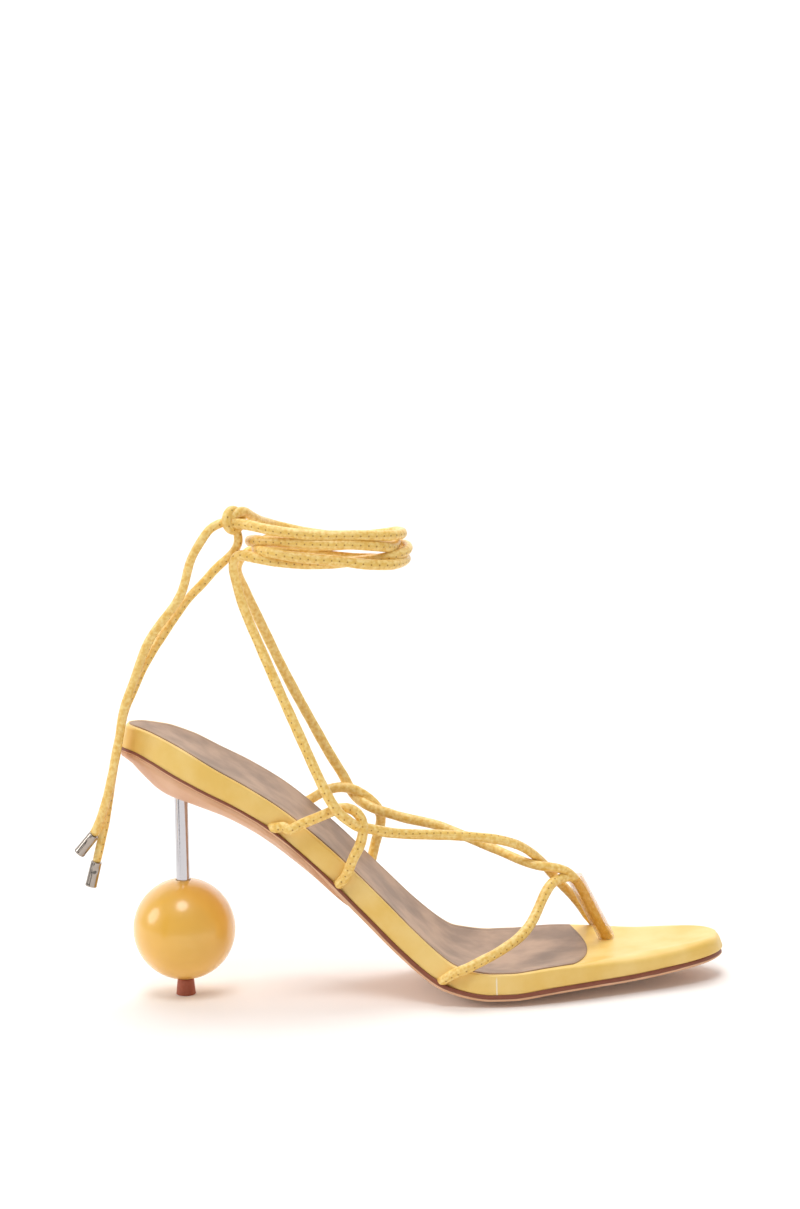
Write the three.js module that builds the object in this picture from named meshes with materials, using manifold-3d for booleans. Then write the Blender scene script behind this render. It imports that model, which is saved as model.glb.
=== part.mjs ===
// Strappy high-heeled sandal with a rod-and-ball heel: right shoe, size EU 38, in millimetres.
// +X runs from heel to toe, +Y to the wearer's left (the inner side of this right shoe), +Z up.
// The origin is the middle of the heel tip's face, on the floor.

import * as THREE from "three";
import { mergeVertices } from "three/addons/utils/BufferGeometryUtils.js";
import Module from "manifold-3d";

const wasm = await Module();
wasm.setup();

// Driving dimensions of the footbed, measured on the last
const FOOT_LENGTH = 218.8; // heel back to toe tip, measured level
const HEEL_BACK = 20; // heel axis to the back of the footbed
const BALL_WIDTH = 71; // across the ball
const HEEL_RISE = 91.7; // underside at the heel back above the underside at the ball
const TOE_SPRING = 6.4; // underside at the toe tip above the underside at the ball
const CUP = 3.3; // edges above the middle, across the ball
const CUP_POWER = 2.4; // how flat the middle of a section stays
const BOARD = 8.4; // wrapped board, thick
const EDGE_ROUND = 3; // rounding of the padded top edge at the toe

// Sizes that the strap routes and the sock lining were drawn at, graded with the footbed
const PATTERN = { length: 218.8, width: 71, rise: 91.7 };

// Sole and sock lining
const OUTSOLE = 2; // outsole sheet, thick
const OUTSOLE_LIP = 0.9; // outsole edge proud of the footbed
const FLAT_SINK = 0.85; // sole ground flat under the ball by this much
const SOCK = 0.8; // sock lining, thick
const SOCK_FRONT = (168.9 * FOOT_LENGTH) / PATTERN.length; // heel back to its front edge's middle
const SOCK_SAG = 6; // the front edge's corners behind its middle
const SOCK_INSET = 0.15; // sock edge inside the footbed's rounding

// Heel
const SEAT_DEPTH = 8.8; // heel seat below the outsole at the rod
const SEAT_RIM = 0.9; // heel seat's edge, thick
const SEAT_INSET = 0.4; // heel seat's edge inside the footbed's
const SEAT_LENGTH = 0.393 * FOOT_LENGTH; // heel back to the tip of the seat's front tongue
const SEAT_TONGUE = 0.35 * SEAT_LENGTH; // rounded stretch of the tongue
const SEAT_WIDTH = 0.36 * BALL_WIDTH; // half width of the tongue's curve
const SEAT_POWER = 1.8; // roundness of the seat's underside
const HEEL_LEAN = 0.9; // degrees that the rod leans towards the toe
const ROD_DIAMETER = 5.1;
const ROD_SOCKET = 5.2; // rod inside the heel seat
const BALL_DIAMETER = 37.6;
const PIN_DIAMETER = 3; // reduced end of the rod, in the tip
const PIN_RISE = 2.5; // pin's shoulder above the tip
const TIP_HEIGHT = 6;
const TIP_TOP = 6.1; // tip's diameter under the ball
const TIP_FOOT = 7.2; // tip's diameter on the floor
const TIP_SOLID = 2; // solid part of the tip under the pin

// Straps and ties
const CORD = 3.6; // rolled and stitched strap, across
const CORD_SIDES = 8;
const CORD_STEP = 8.5; // length of one step of a strap
const FOOT_STEP = 2.6; // length of one step where a strap turns under the footbed
const TUCK = 5; // strap end inside the footbed
const FOOT_LEVEL = 2; // tucked end's middle above the footbed's underside
const SLEEVE_WALL = 0.45; // clear tube over the toe post
const POST_DEPTH = 5; // toe post's end below the footbed's top
const KNOT_LOOP = 3.7; // radius of the knot's upright turn, at the middle of the strap
const AGLET_LENGTH = 9.5;
const AGLET_TOP = 4; // aglet's diameter at the strap
const AGLET_FOOT = 4.4;

const GAP = 0.3; // air between curved pieces that meet
const ROWS = 36; // sections along a sheet
const COLUMNS = 6; // strips across a sheet
const FRONT_STEPS = 9; // steps on each side of a front edge
const ROUND_SIDES = 24; // sides of the turned pieces

// One row for each section of the last. along is a share of FOOT_LENGTH, rise of HEEL_RISE and
// spring of TOE_SPRING; half and centre (the half width and the middle's offset to the inner side)
// are shares of BALL_WIDTH, cup of CUP, board of BOARD, edge of EDGE_ROUND and keel of SEAT_DEPTH.
const COLUMN_NAMES = ["along", "rise", "spring", "half", "centre", "cup", "board", "edge", "keel"];
const SECTIONS = [
  [0.000, 1.006, 0.00, 0.000, 0.000, 0.15, 0.90, 0.4, 0.08],
  [0.023, 0.994, 0.00, 0.134, 0.000, 0.30, 0.94, 0.4, 0.26],
  [0.055, 0.958, 0.00, 0.225, 0.000, 0.45, 1.06, 0.4, 0.53],
  [0.091, 0.905, 0.00, 0.282, 0.000, 0.60, 1.14, 0.4, 0.72],
  [0.137, 0.847, 0.00, 0.318, 0.000, 0.60, 1.08, 0.4, 0.60],
  [0.192, 0.779, 0.00, 0.341, 0.000, 0.60, 1.00, 0.4, 0.46],
  [0.251, 0.689, 0.00, 0.349, 0.000, 0.52, 0.95, 0.4, 0.42],
  [0.320, 0.538, 0.00, 0.341, 0.007, 0.45, 0.97, 0.4, 0.28],
  [0.388, 0.363, 0.00, 0.346, 0.017, 0.48, 0.99, 0.4, 0.10],
  [0.457, 0.184, 0.00, 0.380, 0.021, 0.60, 0.98, 0.4, 0.00],
  [0.512, 0.066, 0.00, 0.431, 0.024, 0.79, 0.96, 0.4, 0.00],
  [0.557, 0.020, 0.00, 0.476, 0.027, 0.94, 0.94, 0.4, 0.00],
  [0.603, 0.000, 0.00, 0.496, 0.031, 1.00, 0.93, 0.4, 0.00],
  [0.649, 0.000, 0.00, 0.500, 0.039, 1.00, 0.92, 0.4, 0.00],
  [0.708, 0.000, 0.24, 0.479, 0.056, 0.91, 0.90, 0.5, 0.00],
  [0.777, 0.000, 0.43, 0.425, 0.076, 0.76, 0.88, 0.8, 0.00],
  [0.845, 0.000, 0.58, 0.354, 0.090, 0.64, 0.87, 1.1, 0.00],
  [0.914, 0.000, 0.78, 0.285, 0.108, 0.52, 0.86, 1.3, 0.00],
  [0.969, 0.000, 1.02, 0.192, 0.110, 0.36, 0.84, 1.2, 0.00],
  [1.000, 0.000, 1.18, 0.000, 0.105, 0.24, 0.82, 1.1, 0.00],
];

// Stations are counted by an angle, so that sections close up at heel and toe
const angleOf = (along) => Math.acos(1 - 2 * Math.min(1, Math.max(0, along))) / Math.PI;
const alongOf = (angle) => (1 - Math.cos(Math.PI * angle)) / 2;
const KNOTS = SECTIONS.map((row) => angleOf(row[0]));

// A column of the table at any station: a cubic through the rows, with the rows' mean slopes
function column(name, along) {
  const c = COLUMN_NAMES.indexOf(name);
  const x = angleOf(along);
  const last = SECTIONS.length - 1;
  let i = 0;
  while (i < last - 1 && x > KNOTS[i + 1]) i += 1;
  const slope = (k) => {
    const a = Math.max(0, k - 1);
    const b = Math.min(last, k + 1);
    return (SECTIONS[b][c] - SECTIONS[a][c]) / (KNOTS[b] - KNOTS[a]);
  };
  const span = KNOTS[i + 1] - KNOTS[i];
  const t = (x - KNOTS[i]) / span;
  const from = SECTIONS[i][c];
  const to = SECTIONS[i + 1][c];
  const rise = (3 - 2 * t) * t * t;
  const start = t * (1 - t) * (1 - t) * span * slope(i);
  const end = t * t * (1 - t) * span * slope(i + 1);
  return from + (to - from) * rise + start - end;
}

const half = (along) => Math.max(0, column("half", along)) * BALL_WIDTH;
const centre = (along) => column("centre", along) * BALL_WIDTH;
const board = (along) => column("board", along) * BOARD;
const edgeRound = (along) => column("edge", along) * EDGE_ROUND;
const keel = (along) => Math.max(0, column("keel", along)) * SEAT_DEPTH;

// The footbed's underside along the middle of the last, seen from the side
const BALL_LEVEL = OUTSOLE + GAP - FLAT_SINK;
function underside(along) {
  const rise = Math.max(0, column("rise", along)) * HEEL_RISE;
  const spring = Math.max(0, column("spring", along)) * TOE_SPRING;
  return new THREE.Vector2(along * FOOT_LENGTH - HEEL_BACK, BALL_LEVEL + rise + spring);
}

// Distance walked along that line, and the station at a distance
const WALK = [new THREE.Vector2(0, 0)];
const WALK_STEPS = 400;
for (let k = 1; k <= WALK_STEPS; k += 1) {
  const here = underside(alongOf(k / WALK_STEPS));
  const before = underside(alongOf((k - 1) / WALK_STEPS));
  WALK.push(new THREE.Vector2(alongOf(k / WALK_STEPS), WALK[k - 1].y + here.distanceTo(before)));
}
const WALK_LENGTH = WALK[WALK_STEPS].y;

function between(table, value, from, to) {
  let low = 0;
  let high = table.length - 1;
  while (high - low > 1) {
    const middle = (low + high) >> 1;
    if (table[middle][from] > value) high = middle;
    else low = middle;
  }
  const t = (value - table[low][from]) / (table[high][from] - table[low][from]);
  return THREE.MathUtils.lerp(table[low][to], table[high][to], t);
}

const walkAt = (along) => between(WALK, along, "x", "y");
const alongAt = (walk) => between(WALK, walk, "y", "x");

// A point by its walk along the last, its place across and its height square to the last.
// Edges are lifted by the cup; close to heel and toe the whole narrow section is lifted.
const SLOPE_STEP = 0.006;
const FULL_CUP_HALF = 16; // half width from which the whole cup is formed
function place(walk, across, height) {
  const along = THREE.MathUtils.clamp(alongAt(walk), 0, 1);
  const ahead = underside(Math.min(1, along + SLOPE_STEP));
  const behind = underside(Math.max(0, along - SLOPE_STEP));
  const run = ahead.sub(behind).normalize();
  const beyond = walk - THREE.MathUtils.clamp(walk, 0, WALK_LENGTH);
  const width = half(along);
  const share = Math.min(1.1, Math.abs(across - centre(along)) / Math.max(width, 0.01));
  const formed = Math.min(1, width / FULL_CUP_HALF);
  const lift = column("cup", along) * CUP * (1 - (1 - share ** CUP_POWER) * formed);
  const base = underside(along);
  const up = height + lift;
  const x = base.x + run.x * beyond - run.y * up;
  return new THREE.Vector3(x, across, base.y + run.y * beyond + run.x * up);
}

// Both edges of the plan, moved inwards by an inset that may change along the last
const EDGE_STEPS = 120;
function edges(inset) {
  const loop = [];
  for (let k = 0; k < 2 * EDGE_STEPS; k += 1) {
    const side = k <= EDGE_STEPS ? -1 : 1;
    const along = alongOf(k <= EDGE_STEPS ? k / EDGE_STEPS : 2 - k / EDGE_STEPS);
    loop.push({ along, walk: walkAt(along), across: centre(along) + side * half(along) });
  }
  const moved = loop.map((point, k) => {
    const next = loop[(k + 1) % loop.length];
    const before = loop[(k + loop.length - 1) % loop.length];
    const tangent = new THREE.Vector2(next.walk - before.walk, next.across - before.across).normalize();
    const by = inset(point.along);
    return { walk: point.walk - tangent.y * by, across: point.across + tangent.x * by };
  });
  const outer = moved.slice(0, EDGE_STEPS + 1);
  const inner = [moved[0], ...moved.slice(EDGE_STEPS + 1).reverse(), moved[EDGE_STEPS]];
  return { outer, inner };
}

// A grid of plan points between the two edges: rows along the last, columns across it
function plan(inset = () => 0) {
  const { outer, inner } = edges(inset);
  const start = outer[0].walk;
  const toe = outer[EDGE_STEPS].walk;
  const rows = [];
  for (let i = 0; i <= ROWS; i += 1) {
    const row = [];
    const walk = start + alongOf(i / ROWS) * (toe - start);
    const low = between(outer, walk, "walk", "across");
    const high = between(inner, walk, "walk", "across");
    for (let j = 0; j <= COLUMNS; j += 1) {
      const t = (2 * j) / COLUMNS - 1;
      row.push({ walk, across: (low + high) / 2 + (t * (high - low)) / 2, share: t });
    }
    rows.push(row);
  }
  return rows;
}

// A closed body from a stack of plans, each at its own height, from the lowest to the highest
function sheet(layers) {
  const solid = layers.map(({ grid, height, floor = -Infinity }) => grid.map((row) => row.map((point) => {
    const spot = place(point.walk, point.across, height(alongAt(point.walk), point.share));
    spot.z = Math.max(spot.z, floor);
    return spot;
  })));
  const points = [];
  const quad = (a, b, c, d) => points.push(a, b, c, a, c, d);
  const rim = (grid) => [
    ...grid.map((row) => row[0]),
    ...grid[ROWS].slice(1),
    ...grid.slice(0, ROWS).reverse().map((row) => row[COLUMNS]),
    ...grid[0].slice(1, COLUMNS).reverse(),
  ];
  const top = solid[solid.length - 1];
  const bottom = solid[0];
  for (let i = 0; i < ROWS; i += 1) {
    for (let j = 0; j < COLUMNS; j += 1) {
      quad(top[i][j], top[i + 1][j], top[i + 1][j + 1], top[i][j + 1]);
      quad(bottom[i][j], bottom[i][j + 1], bottom[i + 1][j + 1], bottom[i + 1][j]);
    }
  }
  for (let n = 1; n < solid.length; n += 1) {
    const low = rim(solid[n - 1]);
    const high = rim(solid[n]);
    low.forEach((point, k) => {
      const next = (k + 1) % low.length;
      quad(point, low[next], high[next], high[k]);
    });
  }
  return new THREE.BufferGeometry().setFromPoints(points);
}

// Solids and geometries
const MERGE = 1e-4;
function solidOf(geometry) {
  const bare = geometry.clone();
  bare.deleteAttribute("normal");
  bare.deleteAttribute("uv");
  const joined = mergeVertices(bare, MERGE);
  const triVerts = [];
  for (let k = 0; k < joined.index.count; k += 3) {
    const [a, b, c] = [0, 1, 2].map((n) => joined.index.getX(k + n));
    if (a !== b && b !== c && c !== a) triVerts.push(a, b, c);
  }
  const vertProperties = new Float32Array(joined.attributes.position.array);
  const mesh = new wasm.Mesh({ numProp: 3, vertProperties, triVerts: new Uint32Array(triVerts) });
  return new wasm.Manifold(mesh);
}

function geometryOf(solid) {
  const mesh = solid.getMesh();
  const geometry = new THREE.BufferGeometry();
  geometry.setAttribute("position", new THREE.BufferAttribute(new Float32Array(mesh.vertProperties), 3));
  geometry.setIndex(new THREE.BufferAttribute(new Uint32Array(mesh.triVerts), 1));
  geometry.computeVertexNormals();
  return geometry;
}

// A turned piece: its profile is radius and height, and it stands on +Z
function turned(profile) {
  const points = profile.map(([radius, height]) => new THREE.Vector2(radius, height));
  return new THREE.LatheGeometry(points, ROUND_SIDES).rotateX(Math.PI / 2);
}

// Turns a piece that stands on +Z to stand at a point in a direction
function stand(geometry, point, direction) {
  const turn = new THREE.Quaternion().setFromUnitVectors(new THREE.Vector3(0, 0, 1), direction);
  return geometry.applyQuaternion(turn).translate(point.x, point.y, point.z);
}

// A round strap along a curve. Its sides lie as far outside the circle as its corners lie inside
function strap(curve, step, extra = 0) {
  const radius = (CORD / 2) / Math.sqrt(Math.cos(Math.PI / CORD_SIDES)) + extra;
  const corners = [];
  for (let k = 0; k < CORD_SIDES; k += 1) {
    const turn = (2 * Math.PI * (k + 0.5)) / CORD_SIDES;
    corners.push(new THREE.Vector2(radius * Math.cos(turn), radius * Math.sin(turn)));
  }
  const steps = Math.max(2, Math.round(curve.getLength() / step));
  const settings = { steps, bevelEnabled: false, extrudePath: curve };
  return solidOf(new THREE.ExtrudeGeometry(new THREE.Shape(corners), settings));
}

const through = (points) => new THREE.CatmullRomCurve3(points, false, "centripetal");

// Footbed: a board wrapped in soft leather, with a rounded top edge
const roundAt = (turn) => ({
  inset: (along) => edgeRound(along) * (1 - Math.cos(turn)),
  drop: (along) => edgeRound(along) * (1 - Math.sin(turn)),
});
function roundedLayer(turn) {
  const { inset, drop } = roundAt(turn);
  return { grid: plan(inset), height: (along) => board(along) - drop(along) };
}
const UNDER_ROUND = 0.6; // rounding of the footbed's lower edge
const footbedSheet = sheet([
  { grid: plan(() => UNDER_ROUND), height: () => 0 },
  { grid: plan(), height: () => UNDER_ROUND },
  roundedLayer(0),
  roundedLayer(Math.PI / 4),
  roundedLayer(Math.PI / 2),
]);

// Outsole: a leather sheet a little proud of the footbed, ground flat under the ball
const outsoleTop = -GAP;
const outsoleFoot = outsoleTop - OUTSOLE;
const outsoleSheet = sheet([
  { grid: plan(() => -OUTSOLE_LIP), height: () => outsoleFoot, floor: 0 },
  { grid: plan(() => -OUTSOLE_LIP), height: () => outsoleTop },
]);

// Everything behind a front edge: the edge is a curve across the last that is level length from
// the heel back at its middle and falls behind it by sag at the half width given
function behind(front, sag, width, power) {
  const outline = new THREE.Shape();
  const points = [];
  for (let k = -FRONT_STEPS; k <= FRONT_STEPS; k += 1) {
    const across = k / FRONT_STEPS;
    const fall = sag * (1 - (1 - Math.abs(across) ** 2) ** power);
    points.push(new THREE.Vector2(front - fall - HEEL_BACK, across * width));
  }
  const back = -2 * HEEL_BACK;
  outline.setFromPoints([new THREE.Vector2(back, -width), ...points, new THREE.Vector2(back, width)]);
  return solidOf(new THREE.ExtrudeGeometry(outline, { depth: 2 * HEEL_RISE, bevelEnabled: false }));
}

// Sock lining: a thin lining glued on the footbed, ending in a curve behind the toes
const sockGrid = plan((along) => edgeRound(along) + SOCK_INSET);
const sockSheet = sheet([
  { grid: sockGrid, height: (along) => board(along) + GAP },
  { grid: sockGrid, height: (along) => board(along) + GAP + SOCK },
]);
const sockSolid = solidOf(sockSheet).intersect(behind(SOCK_FRONT, SOCK_SAG, BALL_WIDTH / 2, 1));

// Heel seat: the covered block under the heel, with a round keel that carries the rod
const seatTop = outsoleFoot - GAP;
const seatGrid = plan(() => SEAT_INSET);
const seatUnder = (along, share) => seatTop - SEAT_RIM - keel(along) * (1 - Math.abs(share) ** SEAT_POWER);
const seatSheet = sheet([
  { grid: seatGrid, height: seatUnder },
  { grid: seatGrid, height: () => seatTop },
]);
const seatBlock = solidOf(seatSheet).intersect(behind(SEAT_LENGTH, SEAT_TONGUE, SEAT_WIDTH, 0.5));

// Rod, ball and tip stand on one axis, which leans a little towards the toe
const leanBy = Math.tan(THREE.MathUtils.degToRad(HEEL_LEAN));
const leaning = new THREE.Matrix4().makeShear(0, 0, 0, 0, leanBy, 0);
const ballRadius = BALL_DIAMETER / 2;
const ballCentre = TIP_HEIGHT + GAP + Math.sqrt(ballRadius ** 2 - (TIP_TOP / 2) ** 2);
const rodRadius = ROD_DIAMETER / 2;
const boreRadius = rodRadius + GAP;
const pinRadius = PIN_DIAMETER / 2;
const keelPoint = (along) => place(walkAt(along), 0, seatUnder(along, 0));
const BISECTIONS = 30;
let behindRod = 0;
let aheadOfRod = SEAT_LENGTH / FOOT_LENGTH;
for (let k = 0; k < BISECTIONS; k += 1) {
  const middle = (behindRod + aheadOfRod) / 2;
  if (keelPoint(middle).x > 0) aheadOfRod = middle;
  else behindRod = middle;
}
const rodTop = keelPoint(behindRod).z + ROD_SOCKET;
const shoulder = TIP_HEIGHT + PIN_RISE;

const rodBody = turned([
  [0, TIP_SOLID + GAP],
  [pinRadius, TIP_SOLID + GAP],
  [pinRadius, shoulder],
  [rodRadius, shoulder],
  [rodRadius, rodTop],
  [0, rodTop],
]).applyMatrix4(leaning);

const BALL_RINGS = 12;
const ballProfile = [];
const mouth = Math.asin(boreRadius / ballRadius);
for (let k = 0; k <= BALL_RINGS; k += 1) {
  const turn = mouth + ((Math.PI - 2 * mouth) * k) / BALL_RINGS;
  ballProfile.push([ballRadius * Math.sin(turn), ballCentre - ballRadius * Math.cos(turn)]);
}
ballProfile.push(ballProfile[0]);
const ballBody = turned(ballProfile).applyMatrix4(leaning);

const tipBody = turned([
  [0, 0],
  [TIP_FOOT / 2, 0],
  [TIP_TOP / 2, TIP_HEIGHT],
  [pinRadius + GAP, TIP_HEIGHT],
  [pinRadius + GAP, TIP_SOLID],
  [0, TIP_SOLID],
]).applyMatrix4(leaning);

const socket = turned([[0, 0], [boreRadius, 0], [boreRadius, rodTop + GAP], [0, rodTop + GAP]]);
const seatSolid = seatBlock.subtract(solidOf(socket.applyMatrix4(leaning)));

// Where a strap turns round the footbed's edge and is tucked under it. Each row is a point's
// distance outside the edge and its height above the footbed's underside.
const WALL_STAND = CORD / 2 + 2 * GAP;
const TURN_UNDER = [
  [-TUCK, FOOT_LEVEL],
  [-TUCK / 2, FOOT_LEVEL],
  [-0.3, FOOT_LEVEL + 0.1],
  [WALL_STAND * 0.6, FOOT_LEVEL + 1],
  [WALL_STAND, FOOT_LEVEL + 2.8],
  [WALL_STAND, FOOT_LEVEL + 5],
];

// side is -1 on the outer edge and +1 on the inner one; lean carries the strap towards the toe
function turnUnder(level, side, lean, extra = []) {
  const along = level / PATTERN.length;
  const at = (share) => new THREE.Vector2(walkAt(share), centre(share) + side * half(share));
  const edge = at(along);
  const run = at(along + SLOPE_STEP).sub(at(along - SLOPE_STEP)).normalize();
  const out = new THREE.Vector2(-run.y, run.x).multiplyScalar(side);
  return [...extra, ...TURN_UNDER].map(([outside, height]) => {
    const walk = edge.x + out.x * outside + run.x * lean * (height - FOOT_LEVEL);
    const across = edge.y + out.y * outside + run.y * lean * (height - FOOT_LEVEL);
    return place(walk, across, height);
  });
}

// Level distance from the heel back, side and lean of each tucked end
const ENDS = {
  outerLoopRear: [57, -1, 0.6],
  outerLoopFront: [78.5, -1, -0.5],
  innerLoopRear: [63, 1, 0.6],
  innerLoopFront: [88.5, 1, -0.3],
  toeStrap: [116.5, -1, 0.4],
  vampStrap: [173.5, 1, -0.8],
};
const END_AIR = [[-TUCK - GAP, FOOT_LEVEL]];
const turns = {};
const turnCuts = [];
for (const [name, [level, side, lean]] of Object.entries(ENDS)) {
  turns[name] = turnUnder(level, side, lean);
  turnCuts.push(strap(through(turnUnder(level, side, lean, END_AIR)), FOOT_STEP, GAP));
}

// Strap routes, from the middle of the strap, at the pattern's size
const graded = (points) => points.map(([x, y, z]) => new THREE.Vector3(
  ((x + HEEL_BACK) * FOOT_LENGTH) / PATTERN.length - HEEL_BACK,
  (y * BALL_WIDTH) / PATTERN.width,
  (z * HEEL_RISE) / PATTERN.rise,
));

const OUTER_LOOP = graded([
  [45.5, -28, 70], [54, -28.5, 72.5], [58, -28, 73.8], [61, -27.5, 74.8], [63.8, -27, 74.2],
  [66.5, -26.7, 72.2], [68, -26.7, 69], [68.2, -27, 65.5], [67, -27.5, 61.5], [65, -28, 57.5],
  [62.5, -28, 53.8],
]);
const INNER_LOOP = graded([
  [50, 29, 67], [54, 29.5, 68.6], [57, 30, 69.2], [61, 30, 69.5], [64.5, 29.5, 69.2],
  [67.5, 29, 67.8], [70.3, 28.7, 65.8], [72.4, 28.7, 63], [73.4, 29, 59.6], [73.2, 29.5, 56],
  [72, 30, 51.5], [70.6, 30.5, 47.5],
]);

// Toe post: straight through the clear sleeve into the footbed
const POST = graded([[156, 17, 12.8], [144.7, 12, 37.1]]);
const postUp = POST[1].clone().sub(POST[0]).normalize();
const SLEEVE_LENGTH = POST[0].distanceTo(POST[1]);
const postFoot = POST[0].clone().addScaledVector(postUp, -POST_DEPTH);
const postCurve = new THREE.LineCurve3(postFoot, POST[1].clone().addScaledVector(postUp, 1));

const TOE_STRAP = graded([
  [101.6, -35, 14.5], [107.7, -33.3, 16.9], [112.9, -29.7, 18.6], [118.2, -25, 20.6], [123, -20, 22.6],
  [126.8, -15, 25.3], [129.6, -10, 28.8], [131.9, -5.5, 33], [134.1, -1.5, 36.2], [136.9, 2, 38.5],
  [140.5, 6.6, 38.8], [143, 10.4, 38.2],
]);

// The outer strap runs from the inner edge of the vamp through the outer loop, up to the ankle,
// twice round it and to the knot; the inner strap mirrors it from the toe post
const OUTER_VAMP = graded([
  [150, 34.5, 20], [146, 28.5, 24.5], [141.5, 21, 29.8], [137.5, 14, 35.5], [134.3, 8.5, 41],
  [131.2, 4.3, 46.4], [127.8, 1.2, 50.8], [122.5, -2, 54], [113.5, -6, 57.3], [101.5, -10.5, 60],
  [88.5, -15.5, 60.9], [81, -18.5, 62.2], [75, -21.5, 64], [70.5, -23.4, 65.6], [67.5, -25.4, 66.6],
  [65.5, -28.3, 68], [63.2, -30.8, 70.3], [60.3, -32.3, 73.2], [58, -32.6, 76.4], [55.8, -32, 80.4],
  [52, -29.5, 88.4], [45.5, -25.5, 103.5], [39, -21.5, 118.5], [32.7, -17.5, 133.5], [26.9, -13.8, 148.5],
  [24.9, -12.3, 156.5], [24.2, -11.6, 161.2], [25.4, -12.2, 164.7],
]);
const OUTER_WRAP = graded([
  [30.5, -15, 165], [36.5, -17, 163.9], [46, -17.4, 162.4], [60, -16.8, 161.9], [70, -16.4, 162.5],
  [79, -14.3, 163], [84.7, -9, 163.5], [87.3, -1, 164.2], [85.5, 7, 164.2], [80.5, 13.5, 163.8],
  [72, 18.2, 163.2], [60, 20, 162.6], [48, 19.6, 162.8], [38.5, 16.5, 164.6], [32, 10, 167],
  [30, 1.5, 168.3], [31, -8, 169.5], [36.5, -15, 170.4], [46, -19, 170.1], [58, -20.4, 169.5],
  [70, -19.8, 168.8], [77.5, -16.5, 167.5], [81.7, -10.5, 166.3], [83, -3, 166.2], [82, 6, 165.9],
  [77.5, 13.8, 165.4], [69, 18.4, 165.3], [62, 19.8, 165.8], [53, 20.2, 167.1], [43.9, 19.4, 169.3],
  [36.8, 16.5, 171.4], [32, 11, 174.3], [29.1, 4, 177], [27, -2.5, 178.8], [24.5, -7, 179.2],
]);
const INNER_VAMP = graded([
  [143.6, 11.3, 38.8], [141, 9.6, 40], [136.5, 7.4, 41.8], [131.9, 6.6, 42.9], [126.4, 8.2, 44.8],
  [117.3, 11.2, 48.3], [108.2, 14.2, 51.8], [100.9, 17, 55], [94, 19.6, 56.8], [88, 21.8, 57.7],
  [80.4, 24, 59.2], [76, 24.8, 60.6], [72.8, 25, 61.6], [70, 25.8, 62.6], [67, 28, 64],
  [64, 31, 66], [61.8, 32.8, 69], [60.2, 33, 73], [58, 32.2, 78], [51, 28.2, 94.2],
  [44, 23.8, 111], [37.2, 19.3, 128], [30.5, 15, 144.5], [27.4, 12.4, 152], [26, 10.8, 157],
  [27.5, 11.4, 161],
]);
const INNER_WRAP = graded([
  [32, 14.5, 163], [38, 18, 160.4], [46, 20, 159.9], [54, 20.4, 159.4], [62, 20.3, 158.2],
  [69, 19.7, 157.6], [77.5, 16.8, 157.7], [83, 11.5, 158.7], [86.2, 3, 159.8], [85.8, -5.5, 160.3],
  [82.8, -13.5, 160.4], [78.5, -18.2, 161], [72, -20.3, 161.8], [62.3, -20.9, 163.4], [46, -20.9, 165.5],
  [39, -19.8, 166.9], [34.5, -15.5, 167.1], [32.6, -8, 166.6], [32.8, 0, 166.6], [35.5, 8, 167.4],
  [41, 14, 167.6], [50, 15.8, 166.6], [60, 16.1, 166.2], [70, 15, 166.6], [78, 11.6, 167.8],
  [83, 6, 169.2], [85.3, -1, 169.8], [84.7, -8, 170.4], [81.5, -13.5, 170.9], [76, -17.7, 171.6],
  [68, -19.9, 172.3], [57, -20.4, 172.7], [46, -20.2, 173.9], [37, -17.7, 175.2], [31, -14.2, 176.2],
  [25, -10.5, 176.2],
]);

// Knot at the back of the ankle: an upright turn of strap round a tight core
const KNOT_CENTRE = graded([[23.6, -8.8, 177.6]])[0];
const KNOT_CORE = { x: 3.6, y: 3.4, z: 3.6 };
const KNOT_SIDES = 14;
function knot(extra) {
  const ring = new THREE.TorusGeometry(KNOT_LOOP, CORD / 2 + extra, CORD_SIDES, KNOT_SIDES);
  const core = new THREE.SphereGeometry(1, KNOT_SIDES, CORD_SIDES);
  core.scale(KNOT_CORE.x + extra, KNOT_CORE.y + extra, KNOT_CORE.z + extra);
  const { x, y, z } = KNOT_CENTRE;
  return solidOf(ring.rotateY(Math.PI / 2).translate(x, y, z)).add(solidOf(core.translate(x, y, z)));
}

// Upper: all straps and loops, joined where they cross, hollow under the foot's place
const { outerLoopRear, outerLoopFront, innerLoopRear, innerLoopFront, toeStrap, vampStrap } = turns;
const LOOP_STEP = 6;
const looped = (rear, loop, front) => through([...rear.slice(-2), ...loop, ...front.slice(-2).reverse()]);
const upperSolid = [
  ...Object.values(turns).map((points) => strap(through(points), FOOT_STEP)),
  strap(looped(outerLoopRear, OUTER_LOOP, outerLoopFront), LOOP_STEP),
  strap(looped(innerLoopRear, INNER_LOOP, innerLoopFront), LOOP_STEP),
  strap(through([...toeStrap.slice(-2), ...TOE_STRAP]), CORD_STEP),
  strap(through([...vampStrap.slice(-2), ...OUTER_VAMP, ...OUTER_WRAP]), CORD_STEP),
  strap(through([...INNER_VAMP, ...INNER_WRAP]), CORD_STEP),
  strap(postCurve, SLEEVE_LENGTH + POST_DEPTH),
].reduce((body, piece) => body.add(piece)).subtract(knot(GAP));

const postCut = strap(
  new THREE.LineCurve3(postFoot.clone().addScaledVector(postUp, -GAP), POST[1]),
  SLEEVE_LENGTH + POST_DEPTH,
  GAP,
);
const footbedSolid = [...turnCuts, postCut].reduce((body, cut) => body.subtract(cut), solidOf(footbedSheet));
const outsoleSolid = turnCuts.reduce((body, cut) => body.subtract(cut), solidOf(outsoleSheet));

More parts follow.
